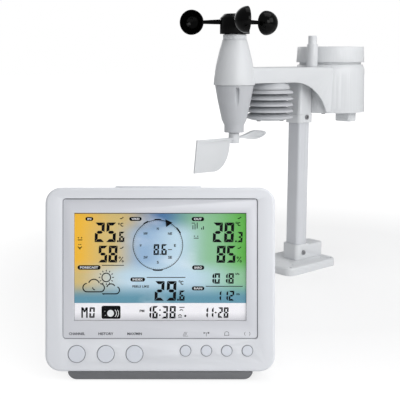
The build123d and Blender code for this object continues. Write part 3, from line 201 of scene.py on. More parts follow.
where, reach, fade = (nodes.new("ShaderNode" + kind) for kind in ("TexCoord", "VectorMath", "MapRange"))
reach.operation = "LENGTH"
fade.inputs["From Min"].default_value, fade.inputs["From Max"].default_value = SHADE_NEAR, SHADE_FAR
fade.inputs["To Min"].default_value = 1 - SHADE_KEPT
kept.operation = "MULTIPLY"
mix, output = nodes.new("ShaderNodeMixShader"), nodes.new("ShaderNodeOutputMaterial")
links.new(where.outputs["Object"], reach.inputs[0])
links.new(reach.outputs["Value"], fade.inputs["Value"])
links.new(fade.outputs["Result"], kept.inputs[1])
links.new(path.outputs["Is Camera Ray"], kept.inputs[0])
links.new(kept.outputs[0], mix.inputs[0])
links.new(paper.outputs[0], mix.inputs[1])
links.new(glow.outputs[0], mix.inputs[2])
links.new(mix.outputs[0], output.inputs["Surface"])
floor_mesh.materials.append(floor_paper)
print("floor", 2 * FLOOR_HALF, "m wide")

# %% [markdown]
# ## Finishes
# Nearly all of this object is injection-moulded plastic, and real mouldings are never one flat colour: they
# have a fine spark-eroded grain, a slow drift in tone, and a roughness that changes with handling. One node
# group makes these three, and each plastic uses it with its own colours and scale.


# %% A group for moulded plastic
def srgb(red, green, blue):
    """A colour as a paint chart gives it, turned into the linear values that a shader wants."""
    linear = [c / 255 / 12.92 if c < 10.3 else ((c / 255 + 0.055) / 1.055) ** 2.4 for c in (red, green, blue)]
    return (*linear, 1.0)


def group_socket(group, name, direction, kind, value=None):
    """Adds one socket to a node group."""
    socket = group.interface.new_socket(name=name, in_out=direction, socket_type=kind)
    if value is not None:
        socket.default_value = value
    return socket


moulding = bpy.data.node_groups.new("moulding", "ShaderNodeTree")
group_socket(moulding, "Tone", "INPUT", "NodeSocketColor", (0.8, 0.8, 0.8, 1))
group_socket(moulding, "Second tone", "INPUT", "NodeSocketColor", (0.7, 0.7, 0.7, 1))
group_socket(moulding, "Grain per metre", "INPUT", "NodeSocketFloat", 2500.0)
group_socket(moulding, "Drift per metre", "INPUT", "NodeSocketFloat", 14.0)
group_socket(moulding, "Least roughness", "INPUT", "NodeSocketFloat", 0.35)
group_socket(moulding, "Most roughness", "INPUT", "NodeSocketFloat", 0.5)
group_socket(moulding, "Colour", "OUTPUT", "NodeSocketColor")
group_socket(moulding, "Roughness", "OUTPUT", "NodeSocketFloat")
group_socket(moulding, "Height", "OUTPUT", "NodeSocketFloat")
nodes, links = moulding.nodes, moulding.links
entry, leave = nodes.new("NodeGroupInput"), nodes.new("NodeGroupOutput")
where = nodes.new("ShaderNodeTexCoord")
drift, grain = nodes.new("ShaderNodeTexNoise"), nodes.new("ShaderNodeTexNoise")
drift.inputs["Detail"].default_value = 4.0
grain.inputs["Detail"].default_value = 2.0
links.new(where.outputs["Object"], drift.inputs["Vector"])
links.new(where.outputs["Object"], grain.inputs["Vector"])
links.new(entry.outputs["Drift per metre"], drift.inputs["Scale"])
links.new(entry.outputs["Grain per metre"], grain.inputs["Scale"])
tone = nodes.new("ShaderNodeMix")
tone.data_type = "RGBA"
links.new(drift.outputs["Fac"], tone.inputs["Factor"])
links.new(entry.outputs["Tone"], tone.inputs["A"])
links.new(entry.outputs["Second tone"], tone.inputs["B"])
span = nodes.new("ShaderNodeMapRange")
links.new(drift.outputs["Fac"], span.inputs["Value"])
links.new(entry.outputs["Least roughness"], span.inputs["To Min"])
links.new(entry.outputs["Most roughness"], span.inputs["To Max"])
links.new(tone.outputs["Result"], leave.inputs["Colour"])
links.new(span.outputs["Result"], leave.inputs["Roughness"])
links.new(grain.outputs["Fac"], leave.inputs["Height"])
print("group", moulding.name)


# %% Finishes made with it
def new_finish(name):
    """An empty finish: its material, its nodes, its links and its Principled shader."""
    material = bpy.data.materials.new(name)
    material.use_nodes = True
    nodes = material.node_tree.nodes
    return material, nodes, material.node_tree.links, nodes["Principled BSDF"]


def plastic(name, tone, second, rough, grain=2500.0, bump=0.15, depth=0.00002, drift=14.0, shine=0.5):
    """A moulded plastic: two close tones, a range of roughness, a fine grain and a level of shine."""
    material, nodes, links, shader = new_finish(name)
    skin = nodes.new("ShaderNodeGroup")
    skin.node_tree = moulding
    skin.inputs["Tone"].default_value = tone
    skin.inputs["Second tone"].default_value = second
    skin.inputs["Grain per metre"].default_value = grain
    skin.inputs["Drift per metre"].default_value = drift
    skin.inputs["Least roughness"].default_value, skin.inputs["Most roughness"].default_value = rough
    shader.inputs["Specular IOR Level"].default_value = shine
    relief = nodes.new("ShaderNodeBump")
    relief.inputs["Strength"].default_value = bump
    relief.inputs["Distance"].default_value = depth
    links.new(skin.outputs["Colour"], shader.inputs["Base Color"])
    links.new(skin.outputs["Roughness"], shader.inputs["Roughness"])
    links.new(skin.outputs["Height"], relief.inputs["Height"])
    links.new(relief.outputs["Normal"], shader.inputs["Normal"])
    return material


housing_white = plastic("housing_white", srgb(223, 225, 226), srgb(215, 217, 220), (0.3, 0.42))
# The housing's plastic made darker for the lower cone and the shield: painted shade from the arm above.
shaded_housing_white = plastic("shaded_housing_white", srgb(200, 202, 205), srgb(190, 192, 196), (0.4, 0.55))
pole_white = plastic("pole_white", srgb(214, 216, 220), srgb(206, 208, 212), (0.3, 0.42), drift=30.0)
console_white = plastic("console_white", srgb(228, 230, 234), srgb(222, 224, 229), (0.34, 0.46))
key_white = plastic("key_white", srgb(222, 225, 232), srgb(214, 218, 226), (0.22, 0.3), grain=1200.0)
rotor_black = plastic("rotor_black", srgb(2, 2, 2), srgb(5, 5, 5), (0.1, 0.18), grain=900.0, bump=0.2,
                      shine=0.12)
bucket_black = plastic("bucket_black", srgb(38, 38, 40), srgb(50, 50, 52), (0.4, 0.55))
panel_silver = plastic("panel_silver", srgb(216, 217, 222), srgb(208, 210, 216), (0.3, 0.38), grain=5200.0)
# The stand is a light grey plastic; this dark grey is painted shade from the console above it.
shaded_stand_grey = plastic("shaded_stand_grey", srgb(116, 117, 120), srgb(106, 107, 110), (0.35, 0.5))
black_parts = plastic("black_parts", srgb(30, 30, 32), srgb(42, 42, 44), (0.4, 0.6))
rubber_black = plastic("rubber_black", srgb(44, 44, 45), srgb(60, 60, 61), (0.75, 0.9), grain=1500.0,
                      bump=0.4)
board_green = plastic("board_green", srgb(20, 92, 52), srgb(30, 112, 62), (0.25, 0.4), grain=700.0, bump=0.3)
cell_jacket = plastic("cell_jacket", srgb(60, 66, 74), srgb(84, 90, 98), (0.25, 0.35))
print("plastics", 13)

# %% Metals and glass


def metal(name, tone, second, rough):
    """A metal: a quick drift of tone and roughness over its surface."""
    material, nodes, links, shader = new_finish(name)
    shader.inputs["Metallic"].default_value = 1.0
    skin = nodes.new("ShaderNodeGroup")
    skin.node_tree = moulding
    skin.inputs["Tone"].default_value = tone
    skin.inputs["Second tone"].default_value = second
    skin.inputs["Drift per metre"].default_value = 180.0
    skin.inputs["Least roughness"].default_value, skin.inputs["Most roughness"].default_value = rough
    links.new(skin.outputs["Colour"], shader.inputs["Base Color"])
    links.new(skin.outputs["Roughness"], shader.inputs["Roughness"])
    return material


steel = metal("steel", srgb(176, 176, 178), srgb(150, 150, 153), (0.22, 0.4))
brass = metal("brass", srgb(206, 170, 96), srgb(186, 148, 78), (0.2, 0.35))
window_glass, nodes, links, shader = new_finish("window_glass")
shader.inputs["Base Color"].default_value = (0.02, 0.02, 0.02, 1)
shader.inputs["Roughness"].default_value = 0.08
shader.inputs["Alpha"].default_value = 0.03
print("metals and glass", steel.name, brass.name, window_glass.name)

# %% [markdown]
# ## Soft edges on the mouldings
# The frame's nodes have razor edges, and no moulding has. Each visible node is copied, its loose triangles
# are merged, flat areas are dissolved into clean faces, and a small bevel rounds every true edge. All faces
# are shaded smooth, and the bevel keeps the normals of flat faces flat, so that turned parts look turned. The
# copy replaces the node and rides on its body.


# %% Soften a node
def soften(node, finish, bevel=0.4, angle=32.0, steps=2):
    """A copy of a node with merged triangles, rounded edges and smooth shading, in a finish."""
    source = frame["nodes"][node]
    body = source["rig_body"]
    mesh = source.data.copy()
    mesh.name = node + "_moulding"
    mesh.materials.clear()
    form = bmesh.new()
    form.from_mesh(mesh)
    bmesh.ops.remove_doubles(form, verts=form.verts, dist=0.000002)
    bmesh.ops.dissolve_limit(form, angle_limit=radians(0.6), verts=form.verts, edges=form.edges)
    form.to_mesh(mesh)
    form.free()
    piece = bpy.data.objects.new(node + "_moulding", mesh)
    scene.collection.objects.link(piece)
    mesh.polygons.foreach_set("use_smooth", [True] * len(mesh.polygons))
    if bevel:
        rounding = piece.modifiers.new("rounding", "BEVEL")
        rounding.width = bevel * MM
        rounding.segments = steps
        rounding.limit_method = "ANGLE"
        rounding.angle_limit = radians(angle)
        rounding.harden_normals = True
        rounding.use_clamp_overlap = True
        settled = bpy.data.meshes.new_from_object(piece.evaluated_get(bpy.context.evaluated_depsgraph_get()))
        piece.modifiers.clear()
        piece.data = settled
    piece.data.name = node + "_moulding"
    piece.data.materials.clear()
    piece.data.materials.append(finish)
    piece.data.polygons.foreach_set("use_smooth", [True] * len(piece.data.polygons))
    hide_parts(node)
    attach(piece, body)
    return piece


SOFT_EDGES = (
    (housing_white, "housing_white", 0.5, ("foot_plate", "mast_block", "pole_collar", "arm_shell", "antenna",
                                           "wind_neck", "wind_vane", "gauge_body", "rain_collector",
                                           "drain_spout")),
    (housing_white, "housing_white", 0.3, ("arm_cover", "gauge_floor", "sensor_battery_door")),
    # The lower cone and the shield take the darker white: painted shade.
    (shaded_housing_white, "housing_white", 0.3, ("lower_cone", "shield_top", "shield_louvres", "shield_base")),
    (pole_white, "pole_white", 0.3, ("mast_pole",)),
    (rotor_black, "rotor_black", 0.35, ("cup_rotor", "rotor_cap")),
    (console_white, "console_white", 0.4,
     ("console_front", "console_back", "console_battery_door", "snooze_bar")),
    (key_white, "console_white", 0.25, tuple(f"large_key_{n}" for n in (1, 2, 3))
     + tuple(f"small_key_{n}" for n in (1, 2, 3, 4))),
    (panel_silver, "panel_silver", 0.2, ("display_panel",)),
    # The stand's dark grey is painted shade under the console.
    (shaded_stand_grey, "console_white", 0.4, ("table_stand",)),
)
softened = []
for finish, slot, bevel, names in SOFT_EDGES:
    softened += [soften(name, finish, bevel) for name in names]
print("softened", len(softened), "faces", sum(len(piece.data.polygons) for piece in softened))

# %% [markdown]
# ## Finishes for the nodes that keep their own mesh
# Bolts, boards, cells and the hidden works already have their true shape. They only need the right finish,
# one for each kind of material in the record.

# %% Dress the other nodes
PLAIN_FINISHES = {"steel": steel, "brass": brass, "bucket_black": bucket_black, "board_green": board_green,
                  "cell_jacket": cell_jacket, "window_glass": window_glass, "black_parts": black_parts,
                  "rubber": rubber_black, "lcd_face": black_parts}
slot_of = {entry["node"]: entry["material_slot"] for entry in frame["record"]["subparts"]}
dressed = 0
for name, node in frame["nodes"].items():
    if slot_of[name] in PLAIN_FINISHES:
        node.data.materials.clear()
        node.data.materials.append(PLAIN_FINISHES[slot_of[name]])
        dressed += 1
print("dressed", dressed, "nodes")

# %% [markdown]
# ## Drawing on the screen
# The display is a printed and switched liquid crystal: flat shapes in one plane, a hair behind the window. We
# draw it in screen millimetres from the lower left corner, collect the outlines by ink, and turn each ink's
# outlines into one thin mesh that is then set on the tilted screen. Nothing here is an image.


# %% Sheets of outlines
def sheet_matrix(corner, depth):
    """Places a drawing: its origin at a corner of the face's plane, at a depth measured out of the face."""
    matrix = face_turn.to_4x4()
    matrix.translation = face_turn @ Vector((corner.x, corner.y, depth))
    return matrix


def drawn(name, outlines, ink, matrix, body="console"):
    """One mesh of flat outlines, given in millimetres, set on the face."""
    form = bmesh.new()
    for outline in outlines:
        corners = [form.verts.new((x * MM, y * MM, 0)) for x, y in outline]
        face = form.faces.new(corners)
        if face.normal.z < 0 or sum((a[0] * b[1] - b[0] * a[1]) for a, b in
                                    zip(outline, outline[1:] + outline[:1])) < 0:
            face.normal_flip()
    bmesh.ops.triangulate(form, faces=form.faces)
    mesh = bpy.data.meshes.new(name)
    form.to_mesh(mesh)
    form.free()
    mesh.transform(matrix)
    mesh.materials.append(ink)
    piece = bpy.data.objects.new(name, mesh)
    scene.collection.objects.link(piece)
    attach(piece, body)
    return piece


def ink(name, colour, rough=0.5):
    """A printed ink: nearly flat and dull, with a faint unevenness."""
    second = tuple(min(1.0, c * 1.12 + 0.001) for c in colour[:3]) + (1.0,)
    return plastic(name, colour, second, (rough, rough + 0.1), shine=0.1)


crystal_black = ink("crystal_black", srgb(7, 8, 12))
print_white = ink("print_white", srgb(236, 238, 240))
print_grey = ink("print_grey", srgb(70, 72, 78))
# Grey for the fine gaps round the panel and the keys: painted shade, made with the ink recipe.
gap_shade_grey = ink("gap_shade_grey", srgb(122, 124, 130))


def bar(x0, y0, x1, y1, width):
    """A straight stroke between two points."""
    along = Vector((x1 - x0, y1 - y0)).normalized() * width / 2
    side = Vector((-along.y, along.x))
    return [(x0 + side.x, y0 + side.y), (x0 - side.x, y0 - side.y), (x1 - side.x, y1 - side.y),
            (x1 + side.x, y1 + side.y)]


def disc(x, y, radius, start=0.0, end=360.0, steps=24):
    """A filled circle, or a slice of one."""
    corners = steps if end - start >= 360 else steps + 1
    angles = [radians(start + (end - start) * i / steps) for i in range(corners)]
    return [(x + radius * cos(a), y + radius * sin(a)) for a in angles]


def arc(x, y, radius, start, end, width, steps=24):
    """A curved stroke, as short bars that share their ends."""
    rings = [(radius - width / 2), (radius + width / 2)]
    angles = [radians(start + (end - start) * i / steps) for i in range(steps + 1)]
    return [[(x + rings[0] * cos(a), y + rings[0] * sin(a)), (x + rings[1] * cos(a), y + rings[1] * sin(a)),
             (x + rings[1] * cos(b), y + rings[1] * sin(b)), (x + rings[0] * cos(b), y + rings[0] * sin(b))]
            for a, b in zip(angles, angles[1:])]


def pill(x, y, width, height):
    """A label's dark badge with round ends, about its centre."""
    r, half = height / 2, width / 2 - height / 2
    right = [(x + half + r * cos(radians(a)), y + r * sin(radians(a))) for a in range(-90, 91, 15)]
    left = [(x - half + r * cos(radians(a)), y + r * sin(radians(a))) for a in range(90, 271, 15)]
    return right + left


print("inks", crystal_black.name, print_white.name, print_grey.name)

# %% [markdown]
# ## Seven-segment digits
# A numeral on such a display is up to seven strokes with mitred ends. One function draws any digit from the
# letters of its segments, at any height, width and weight, so all the readings share it.

# %% Segment digits
SLANT = 0.04
SEGMENTS = {"0": "abcdef", "1": "bc", "2": "abged", "3": "abgcd", "5": "afgcd", "6": "afgedc", "8": "abcdefg",
            "9": "abcdfg", "-": "g"}


def digit(character, x, y, width, height, weight):
    """Outlines of one digit whose lower left corner is at x, y."""
    gap, t = weight * 0.05, weight
    middle = height / 2
    level = {"a": height - t / 2, "g": middle, "d": t / 2}
    column = {"f": (0, middle, height), "b": (1, middle, height), "e": (0, 0, middle), "c": (1, 0, middle)}
    shapes = []
    for segment in SEGMENTS[character]:
        if segment in level:
            v = level[segment]
            out = 1.0 if segment != "g" else 0.5
            if segment == "g":
                shapes.append([(t * out + gap, v), (t + gap, v - t / 2), (width - t - gap, v - t / 2),
                               (width - t * out - gap, v), (width - t - gap, v + t / 2),
                               (t + gap, v + t / 2)])
            else:
                edge = height if segment == "a" else 0
                inner = height - t if segment == "a" else t
                shapes.append([(gap, edge), (width - gap, edge), (width - t - gap, inner), (t + gap, inner)])
        else:
            side, low, high = column[segment]
            outer, inner = (0, t) if side == 0 else (width, width - t)
            low_in = low + (t if low == 0 else t / 2) + gap
            high_in = high - (t if high == height else t / 2) - gap
            low_out = low + gap if low == 0 else low + t * 0.12 + gap
            high_out = high - gap if high == height else high - t * 0.12 - gap
            shapes.append([(outer, low_out), (inner, low_in), (inner, high_in), (outer, high_out)])
    return [[(x + px + py * SLANT, y + py) for px, py in shape] for shape in shapes]


def reading(text, x, y, width, height, weight, pitch):
    """A row of digits, with the left edge of the first at x."""
    shapes = []
    for place, character in enumerate(text):
        if character != " ":
            shapes += digit(character, x + place * pitch, y, width, height, weight)
    return shapes


dark = []
dark += reading("25", 20.5, 80.2, 9.8, 20.0, 3.1, 11.7) + [disc(44.3, 81.1, 1.0)]
dark += reading("6", 45.4, 80.2, 5.5, 10.6, 1.95, 0)
dark += reading("58", 24.3, 59.3, 8.9, 17.2, 2.8, 10.3)
dark += reading("28", 141.4, 80.0, 9.8, 20.2, 3.1, 11.6) + [disc(165.3, 81.0, 1.0)]
dark += reading("3", 166.5, 80.0, 5.3, 10.6, 1.95, 0)
dark += reading("85", 145.3, 59.0, 8.8, 17.4, 2.8, 10.4)
dark += reading("29", 81.8, 20.2, 9.7, 20.0, 3.1, 12.2) + [disc(105.9, 21.1, 1.0)]
dark += reading("6", 107.2, 20.2, 5.4, 10.4, 1.85, 0)
dark += reading("8", 80.8, 67.0, 5.5, 11.0, 1.75, 0) + [disc(87.7, 67.7, 0.7)]
dark += reading("6", 88.8, 67.0, 5.5, 11.0, 1.75, 0)
dark += reading("10", 137.3, 37.6, 5.4, 10.7, 1.75, 5.9) + reading("18", 151.2, 37.6, 5.4, 10.7, 1.75, 6.2)
dark += reading("1", 144.8, 20.2, 5.2, 10.2, 1.7, 0) + reading("12", 151.6, 20.2, 5.4, 10.2, 1.7, 6.2)
dark += reading("16", 73.0, 2.0, 5.4, 12.7, 1.9, 6.6) + reading("38", 89.2, 2.0, 6.2, 12.7, 1.9, 7.9)
dark += [disc(87.3, 5.4, 0.85), disc(87.5, 10.6, 0.85)]
dark += reading("11", 131.5, 2.7, 5.0, 10.7, 1.7, 5.6) + reading("-", 142.2, 2.7, 4.2, 10.7, 1.6, 0)
dark += reading("28", 146.7, 2.7, 4.8, 10.7, 1.7, 5.9)
print("digit strokes", len(dark))

# %% [markdown]
# ## The picture behind the digits
# The backlight shines through a printed film: warm on the side of the indoor readings, a cloudy sky behind
# the compass, and green on the side of the outdoor readings. We could paint it as an image, but a few colour
# ramps say the same thing at any size. Each ramp is one row of the film, from left to right, and the rows
# melt into each other from the bottom up. A row's colours are a few plain ones with names, evenly spaced. A
# soft noise on top gives the clouds.

# %% Colours of the film
AMBER, SAND, LEAF, GRASS = (240, 185, 60), (210, 185, 120), (140, 190, 150), (95, 175, 75)
SKY, DEEP_SKY, PALE_SKY, SEA = (150, 180, 210), (80, 120, 165), (190, 215, 230), (100, 150, 170)
FILM_ROWS = (
    ("foot", (SEA, SEA)),
    ("low", (SAND, PALE_SKY, PALE_SKY, LEAF)),
    ("middle", (AMBER, SAND, SKY, PALE_SKY, LEAF, GRASS)),
    ("top", (AMBER, SAND, DEEP_SKY, LEAF, GRASS)),
)
ROW_BLENDS = ((0.05, 0.25), (0.3, 0.5), (0.75, 0.95))
CLOUD_SCALE, CLOUD_SHARE, FILM_GLOW = 3.4, 0.3, 0.2
CLOUD_WHITE, CLOUD_FROM, CLOUD_FULL = (236, 242, 250), 0.5, 0.72
CLOUD_MIDDLE, CLOUD_REACH, CLOUD_CORE = 0.52, 0.4, 0.1

film, nodes, links, shader = new_finish("backlit_film")
where, split = nodes.new("ShaderNodeUVMap"), nodes.new("ShaderNodeSeparateXYZ")
links.new(where.outputs["UV"], split.inputs["Vector"])
rows = []
for name, colours in FILM_ROWS:
    ramp = nodes.new("ShaderNodeValToRGB")
    ramp.label = name
    ramp.color_ramp.interpolation = "EASE"
    last = len(colours) - 1
    for step in range(1, last):
        ramp.color_ramp.elements.new(step / last)
    for step, (element, colour) in enumerate(zip(ramp.color_ramp.elements, colours)):
        element.position = step / last
        element.color = srgb(*colour)
    links.new(split.outputs["X"], ramp.inputs["Fac"])
    rows.append(ramp.outputs["Color"])
colour = rows[0]
for row, (start, end) in zip(rows[1:], ROW_BLENDS):
    blend, mix = nodes.new("ShaderNodeMapRange"), nodes.new("ShaderNodeMix")
    blend.interpolation_type = "SMOOTHSTEP"
    blend.inputs["From Min"].default_value, blend.inputs["From Max"].default_value = start, end
    mix.data_type = "RGBA"
    links.new(split.outputs["Y"], blend.inputs["Value"])
    links.new(blend.outputs["Result"], mix.inputs["Factor"])
    links.new(colour, mix.inputs["A"])
    links.new(row, mix.inputs["B"])
    colour = mix.outputs["Result"]
print("film rows", len(rows))

# %% Clouds over the film
cloud, haze, middle_band = (nodes.new(kind) for kind in ("ShaderNodeTexNoise", "ShaderNodeMapRange",
                                                         "ShaderNodeMapRange"))
cloud.inputs["Scale"].default_value = CLOUD_SCALE
cloud.inputs["Detail"].default_value = 5.0
haze.interpolation_type = "SMOOTHSTEP"
haze.inputs["From Min"].default_value, haze.inputs["From Max"].default_value = CLOUD_FROM, CLOUD_FULL
haze.inputs["To Max"].default_value = CLOUD_SHARE
off_centre = nodes.new("ShaderNodeMath")
off_centre.operation = "SUBTRACT"
off_centre.inputs[1].default_value = CLOUD_MIDDLE
away_from = nodes.new("ShaderNodeMath")
away_from.operation = "ABSOLUTE"
middle_band.interpolation_type = "SMOOTHSTEP"
middle_band.inputs["From Min"].default_value = CLOUD_REACH
middle_band.inputs["From Max"].default_value = CLOUD_CORE
strength = nodes.new("ShaderNodeMath")
strength.operation = "MULTIPLY"
clouded = nodes.new("ShaderNodeMix")
clouded.data_type = "RGBA"
clouded.inputs["B"].default_value = srgb(*CLOUD_WHITE)
links.new(where.outputs["UV"], cloud.inputs["Vector"])
links.new(cloud.outputs["Fac"], haze.inputs["Value"])
links.new(split.outputs["X"], off_centre.inputs[0])
links.new(off_centre.outputs[0], away_from.inputs[0])
links.new(away_from.outputs[0], middle_band.inputs["Value"])
links.new(haze.outputs["Result"], strength.inputs[0])
links.new(middle_band.outputs["Result"], strength.inputs[1])
links.new(strength.outputs[0], clouded.inputs["Factor"])
links.new(colour, clouded.inputs["A"])
links.new(clouded.outputs["Result"], shader.inputs["Base Color"])
links.new(clouded.outputs["Result"], shader.inputs["Emission Color"])
shader.inputs["Emission Strength"].default_value = FILM_GLOW
shader.inputs["Specular IOR Level"].default_value = 0.15
shader.inputs["Roughness"].default_value = 0.4
print("clouds at scale", CLOUD_SCALE)

# %% The bright strip of the clock
# The strip runs from grey at its bottom edge to white: painted shade from the screen's frame below it.
STRIP_SHADE_GREY, STRIP_WHITE, STRIP_WHITE_FROM, STRIP_GLOW = (204, 204, 209), (244, 243, 247), 0.45, 0.18
strip_film, nodes, links, shader = new_finish("strip_film")
where, split, ramp = (nodes.new(kind) for kind in ("ShaderNodeUVMap", "ShaderNodeSeparateXYZ",
                                                   "ShaderNodeValToRGB"))
ramp.color_ramp.elements[0].color = srgb(*STRIP_SHADE_GREY)
ramp.color_ramp.elements[1].color = srgb(*STRIP_WHITE)
ramp.color_ramp.elements[1].position = STRIP_WHITE_FROM
links.new(where.outputs["UV"], split.inputs["Vector"])
links.new(split.outputs["Y"], ramp.inputs["Fac"])
links.new(ramp.outputs["Color"], shader.inputs["Base Color"])
links.new(ramp.outputs["Color"], shader.inputs["Emission Color"])
shader.inputs["Emission Strength"].default_value = STRIP_GLOW
shader.inputs["Roughness"].default_value = 0.4

SCREEN_MM = (screen_w / MM, screen_h / MM)
STRIP_TOP = 17.8
FILM_LIFT, DARK_LIFT, WHITE_LIFT = 0.05 * MM, 0.11 * MM, 0.17 * MM


def film_sheet(name, low, high, material):
    """A flat rectangle on the display with a UV map from corner to corner."""
    piece = drawn(name, [[low, (high[0], low[1]), high, (low[0], high[1])]], material,
                  sheet_matrix(screen_low, lcd_high.z + FILM_LIFT))
    uv = piece.data.uv_layers.new(name="film").data
    flat = sheet_matrix(screen_low, lcd_high.z + FILM_LIFT).inverted()
    for loop in piece.data.loops:
        place = flat @ piece.data.vertices[loop.vertex_index].co / MM
        uv[loop.index].uv = ((place.x - low[0]) / (high[0] - low[0]), (place.y - low[1]) / (high[1] - low[1]))
    return piece


film_sheet("display_film", (0, STRIP_TOP), SCREEN_MM, film)
film_sheet("clock_strip", (0, 0), (SCREEN_MM[0], STRIP_TOP), strip_film)
print("film", [round(size, 1) for size in SCREEN_MM])

# %% [markdown]
# ## Words as meshes
# The display's badges and the panel's key names are short plain words. Each is a text curve, turned into a
# mesh while it is still flat, fitted to the box that the word fills, and then added to the drawing it belongs
# to.


# %% Fitted words
WORD_WEIGHT = 0.03


def word(text, x, y, width, height):
    """The flat mesh of a word, centred at x, y and fitted to a width and a height in millimetres."""
    curve = bpy.data.curves.new("word", "FONT")
    curve.body = text
    curve.resolution_u = 3
    curve.offset = WORD_WEIGHT
    holder = bpy.data.objects.new("word", curve)
    scene.collection.objects.link(holder)
    bpy.context.view_layer.update()
    mesh = bpy.data.meshes.new_from_object(holder.evaluated_get(bpy.context.evaluated_depsgraph_get()))
    bpy.data.objects.remove(holder)
    points = [vertex.co for vertex in mesh.vertices]
    low = Vector([min(point[i] for point in points) for i in range(3)])
    high = Vector([max(point[i] for point in points) for i in range(3)])
    fit = Matrix.Diagonal((width / (high.x - low.x), height / (high.y - low.y), 1.0, 1.0))
    mesh.transform(Matrix.Translation((x, y, 0)) @ fit @ Matrix.Translation(-(low + high) / 2))
    return mesh


def written(name, words, ink, matrix, body="console"):
    """One mesh of several fitted words, set on the face."""
    form = bmesh.new()
    for entry in words:
        form.from_mesh(word(*entry))
    form.normal_update()
    for face in form.faces:
        if face.normal.z < 0:
            face.normal_flip()
    mesh = bpy.data.meshes.new(name)
    form.to_mesh(mesh)
    form.free()
    mesh.transform(matrix @ Matrix.Scale(MM, 4))
    mesh.materials.append(ink)
    piece = bpy.data.objects.new(name, mesh)
    scene.collection.objects.link(piece)
    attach(piece, body)
    return piece


# middle, width and height of each badge, with its word
BADGES = (("IN", 15.2, 103.9, 8.1, 3.9), ("WIND", 62.4, 103.9, 12.7, 4.1), ("OUT", 126.3, 103.8, 12.8, 4.3),
          ("FORECAST", 14.9, 54.2, 23.6, 4.6), ("INDEX", 64.7, 41.9, 15.0, 4.2),
          ("BARO", 126.6, 54.1, 12.5, 4.5),
          ("RAIN", 126.5, 32.8, 12.8, 4.1))
dark += [pill(x, y, width, height) for _, x, y, width, height in BADGES]
badge_words = [(text, x, y, width - height * 1.1, height * 0.5) for text, x, y, width, height in BADGES]
print("badges", len(BADGES))

# %% Rules, marks and units
dark += [bar(28, 56.4, 50.5, 56.4, 0.75), bar(74, 44, 113.5, 44, 0.75), bar(134.4, 34.9, 172.3, 34.9, 0.75)]
TREND_MARKS = ((48.4, 104.9), (48.4, 74.5), (168.9, 105.1), (168.9, 74.5))
for x, y in TREND_MARKS:
    dark += [bar(x - 1.9, y - 0.7, x - 0.2, y - 0.7, 0.9), bar(x - 0.4, y - 0.8, x + 1.7, y + 0.8, 0.95)]
DEGREE_UNITS = ((45.5, 99.0, 48.9, 98.0), (165.9, 99.9, 168.8, 98.6), (107.6, 40.0, 110.4, 38.5))
for ring_x, ring_y, letter_x, letter_y in DEGREE_UNITS:
    dark += arc(ring_x, ring_y, 0.75, 0, 360, 0.6, 10)
    dark += arc(letter_x, letter_y, 1.55, 50, 310, 0.9, 10)
for x, y in ((47.8, 62.4), (168.6, 62.4)):
    dark += [bar(x - 1.9, y - 2.6, x + 1.9, y + 2.6, 0.75)]
    dark += arc(x - 1.5, y + 1.9, 0.8, 0, 360, 0.7, 8) + arc(x + 1.5, y - 1.9, 0.8, 0, 360, 0.7, 8)
dark += [bar(95.8, 72.5, 99.8, 72.5, 0.75)]
small_words = [("hPa", 166.8, 47.6, 4.2, 2.0), ("mm", 167.4, 26.8, 3.6, 1.7),
               ("FEELS LIKE", 67.8, 34.8, 17.0, 2.3),
               ("PM", 69.1, 9.7, 4.8, 2.6)]
print("trend marks", len(TREND_MARKS))

# %% [markdown]
# ## Compass
# The wind compass is a thin ring with a heavier stroke at four places, a pointer on it, and eight letters
# inside. Its fine scale is a row of equal marks round a circle, which is work for Geometry Nodes: a mesh
# circle gives the points, a small grid is the mark, and each instance turns by its index. The same tree makes
# the rays of the sun.

# %% A tree for marks on a circle
ring_tree = bpy.data.node_groups.new("ring_of_marks", "GeometryNodeTree")
group_socket(ring_tree, "Marks", "INPUT", "NodeSocketInt", 12)
group_socket(ring_tree, "Radius", "INPUT", "NodeSocketFloat", 0.01)
group_socket(ring_tree, "Mark length", "INPUT", "NodeSocketFloat", 0.001)
group_socket(ring_tree, "Mark width", "INPUT", "NodeSocketFloat", 0.0002)
group_socket(ring_tree, "Ink", "INPUT", "NodeSocketMaterial")
group_socket(ring_tree, "Geometry", "OUTPUT", "NodeSocketGeometry")
nodes, links = ring_tree.nodes, ring_tree.links
entry, leave = nodes.new("NodeGroupInput"), nodes.new("NodeGroupOutput")
circle, mark = nodes.new("GeometryNodeMeshCircle"), nodes.new("GeometryNodeMeshGrid")
mark.inputs["Vertices X"].default_value, mark.inputs["Vertices Y"].default_value = 2, 2
index, per_mark = nodes.new("GeometryNodeInputIndex"), nodes.new("ShaderNodeMath")
per_mark.operation = "DIVIDE"
per_mark.inputs[0].default_value = 2 * pi
heading, turn = nodes.new("ShaderNodeMath"), nodes.new("ShaderNodeCombineXYZ")
heading.operation = "MULTIPLY"
place, solid, coat = (nodes.new("GeometryNode" + kind) for kind in ("InstanceOnPoints", "RealizeInstances",
                                                                    "SetMaterial"))
links.new(entry.outputs["Marks"], circle.inputs["Vertices"])
links.new(entry.outputs["Radius"], circle.inputs["Radius"])
links.new(entry.outputs["Mark length"], mark.inputs["Size X"])
links.new(entry.outputs["Mark width"], mark.inputs["Size Y"])
links.new(entry.outputs["Marks"], per_mark.inputs[1])
links.new(index.outputs[0], heading.inputs[0])
links.new(per_mark.outputs[0], heading.inputs[1])
links.new(heading.outputs[0], turn.inputs["Z"])
links.new(circle.outputs["Mesh"], place.inputs["Points"])
links.new(mark.outputs["Mesh"], place.inputs["Instance"])
links.new(turn.outputs["Vector"], place.inputs["Rotation"])
links.new(place.outputs["Instances"], solid.inputs["Geometry"])
links.new(solid.outputs["Geometry"], coat.inputs["Geometry"])
links.new(entry.outputs["Ink"], coat.inputs["Material"])
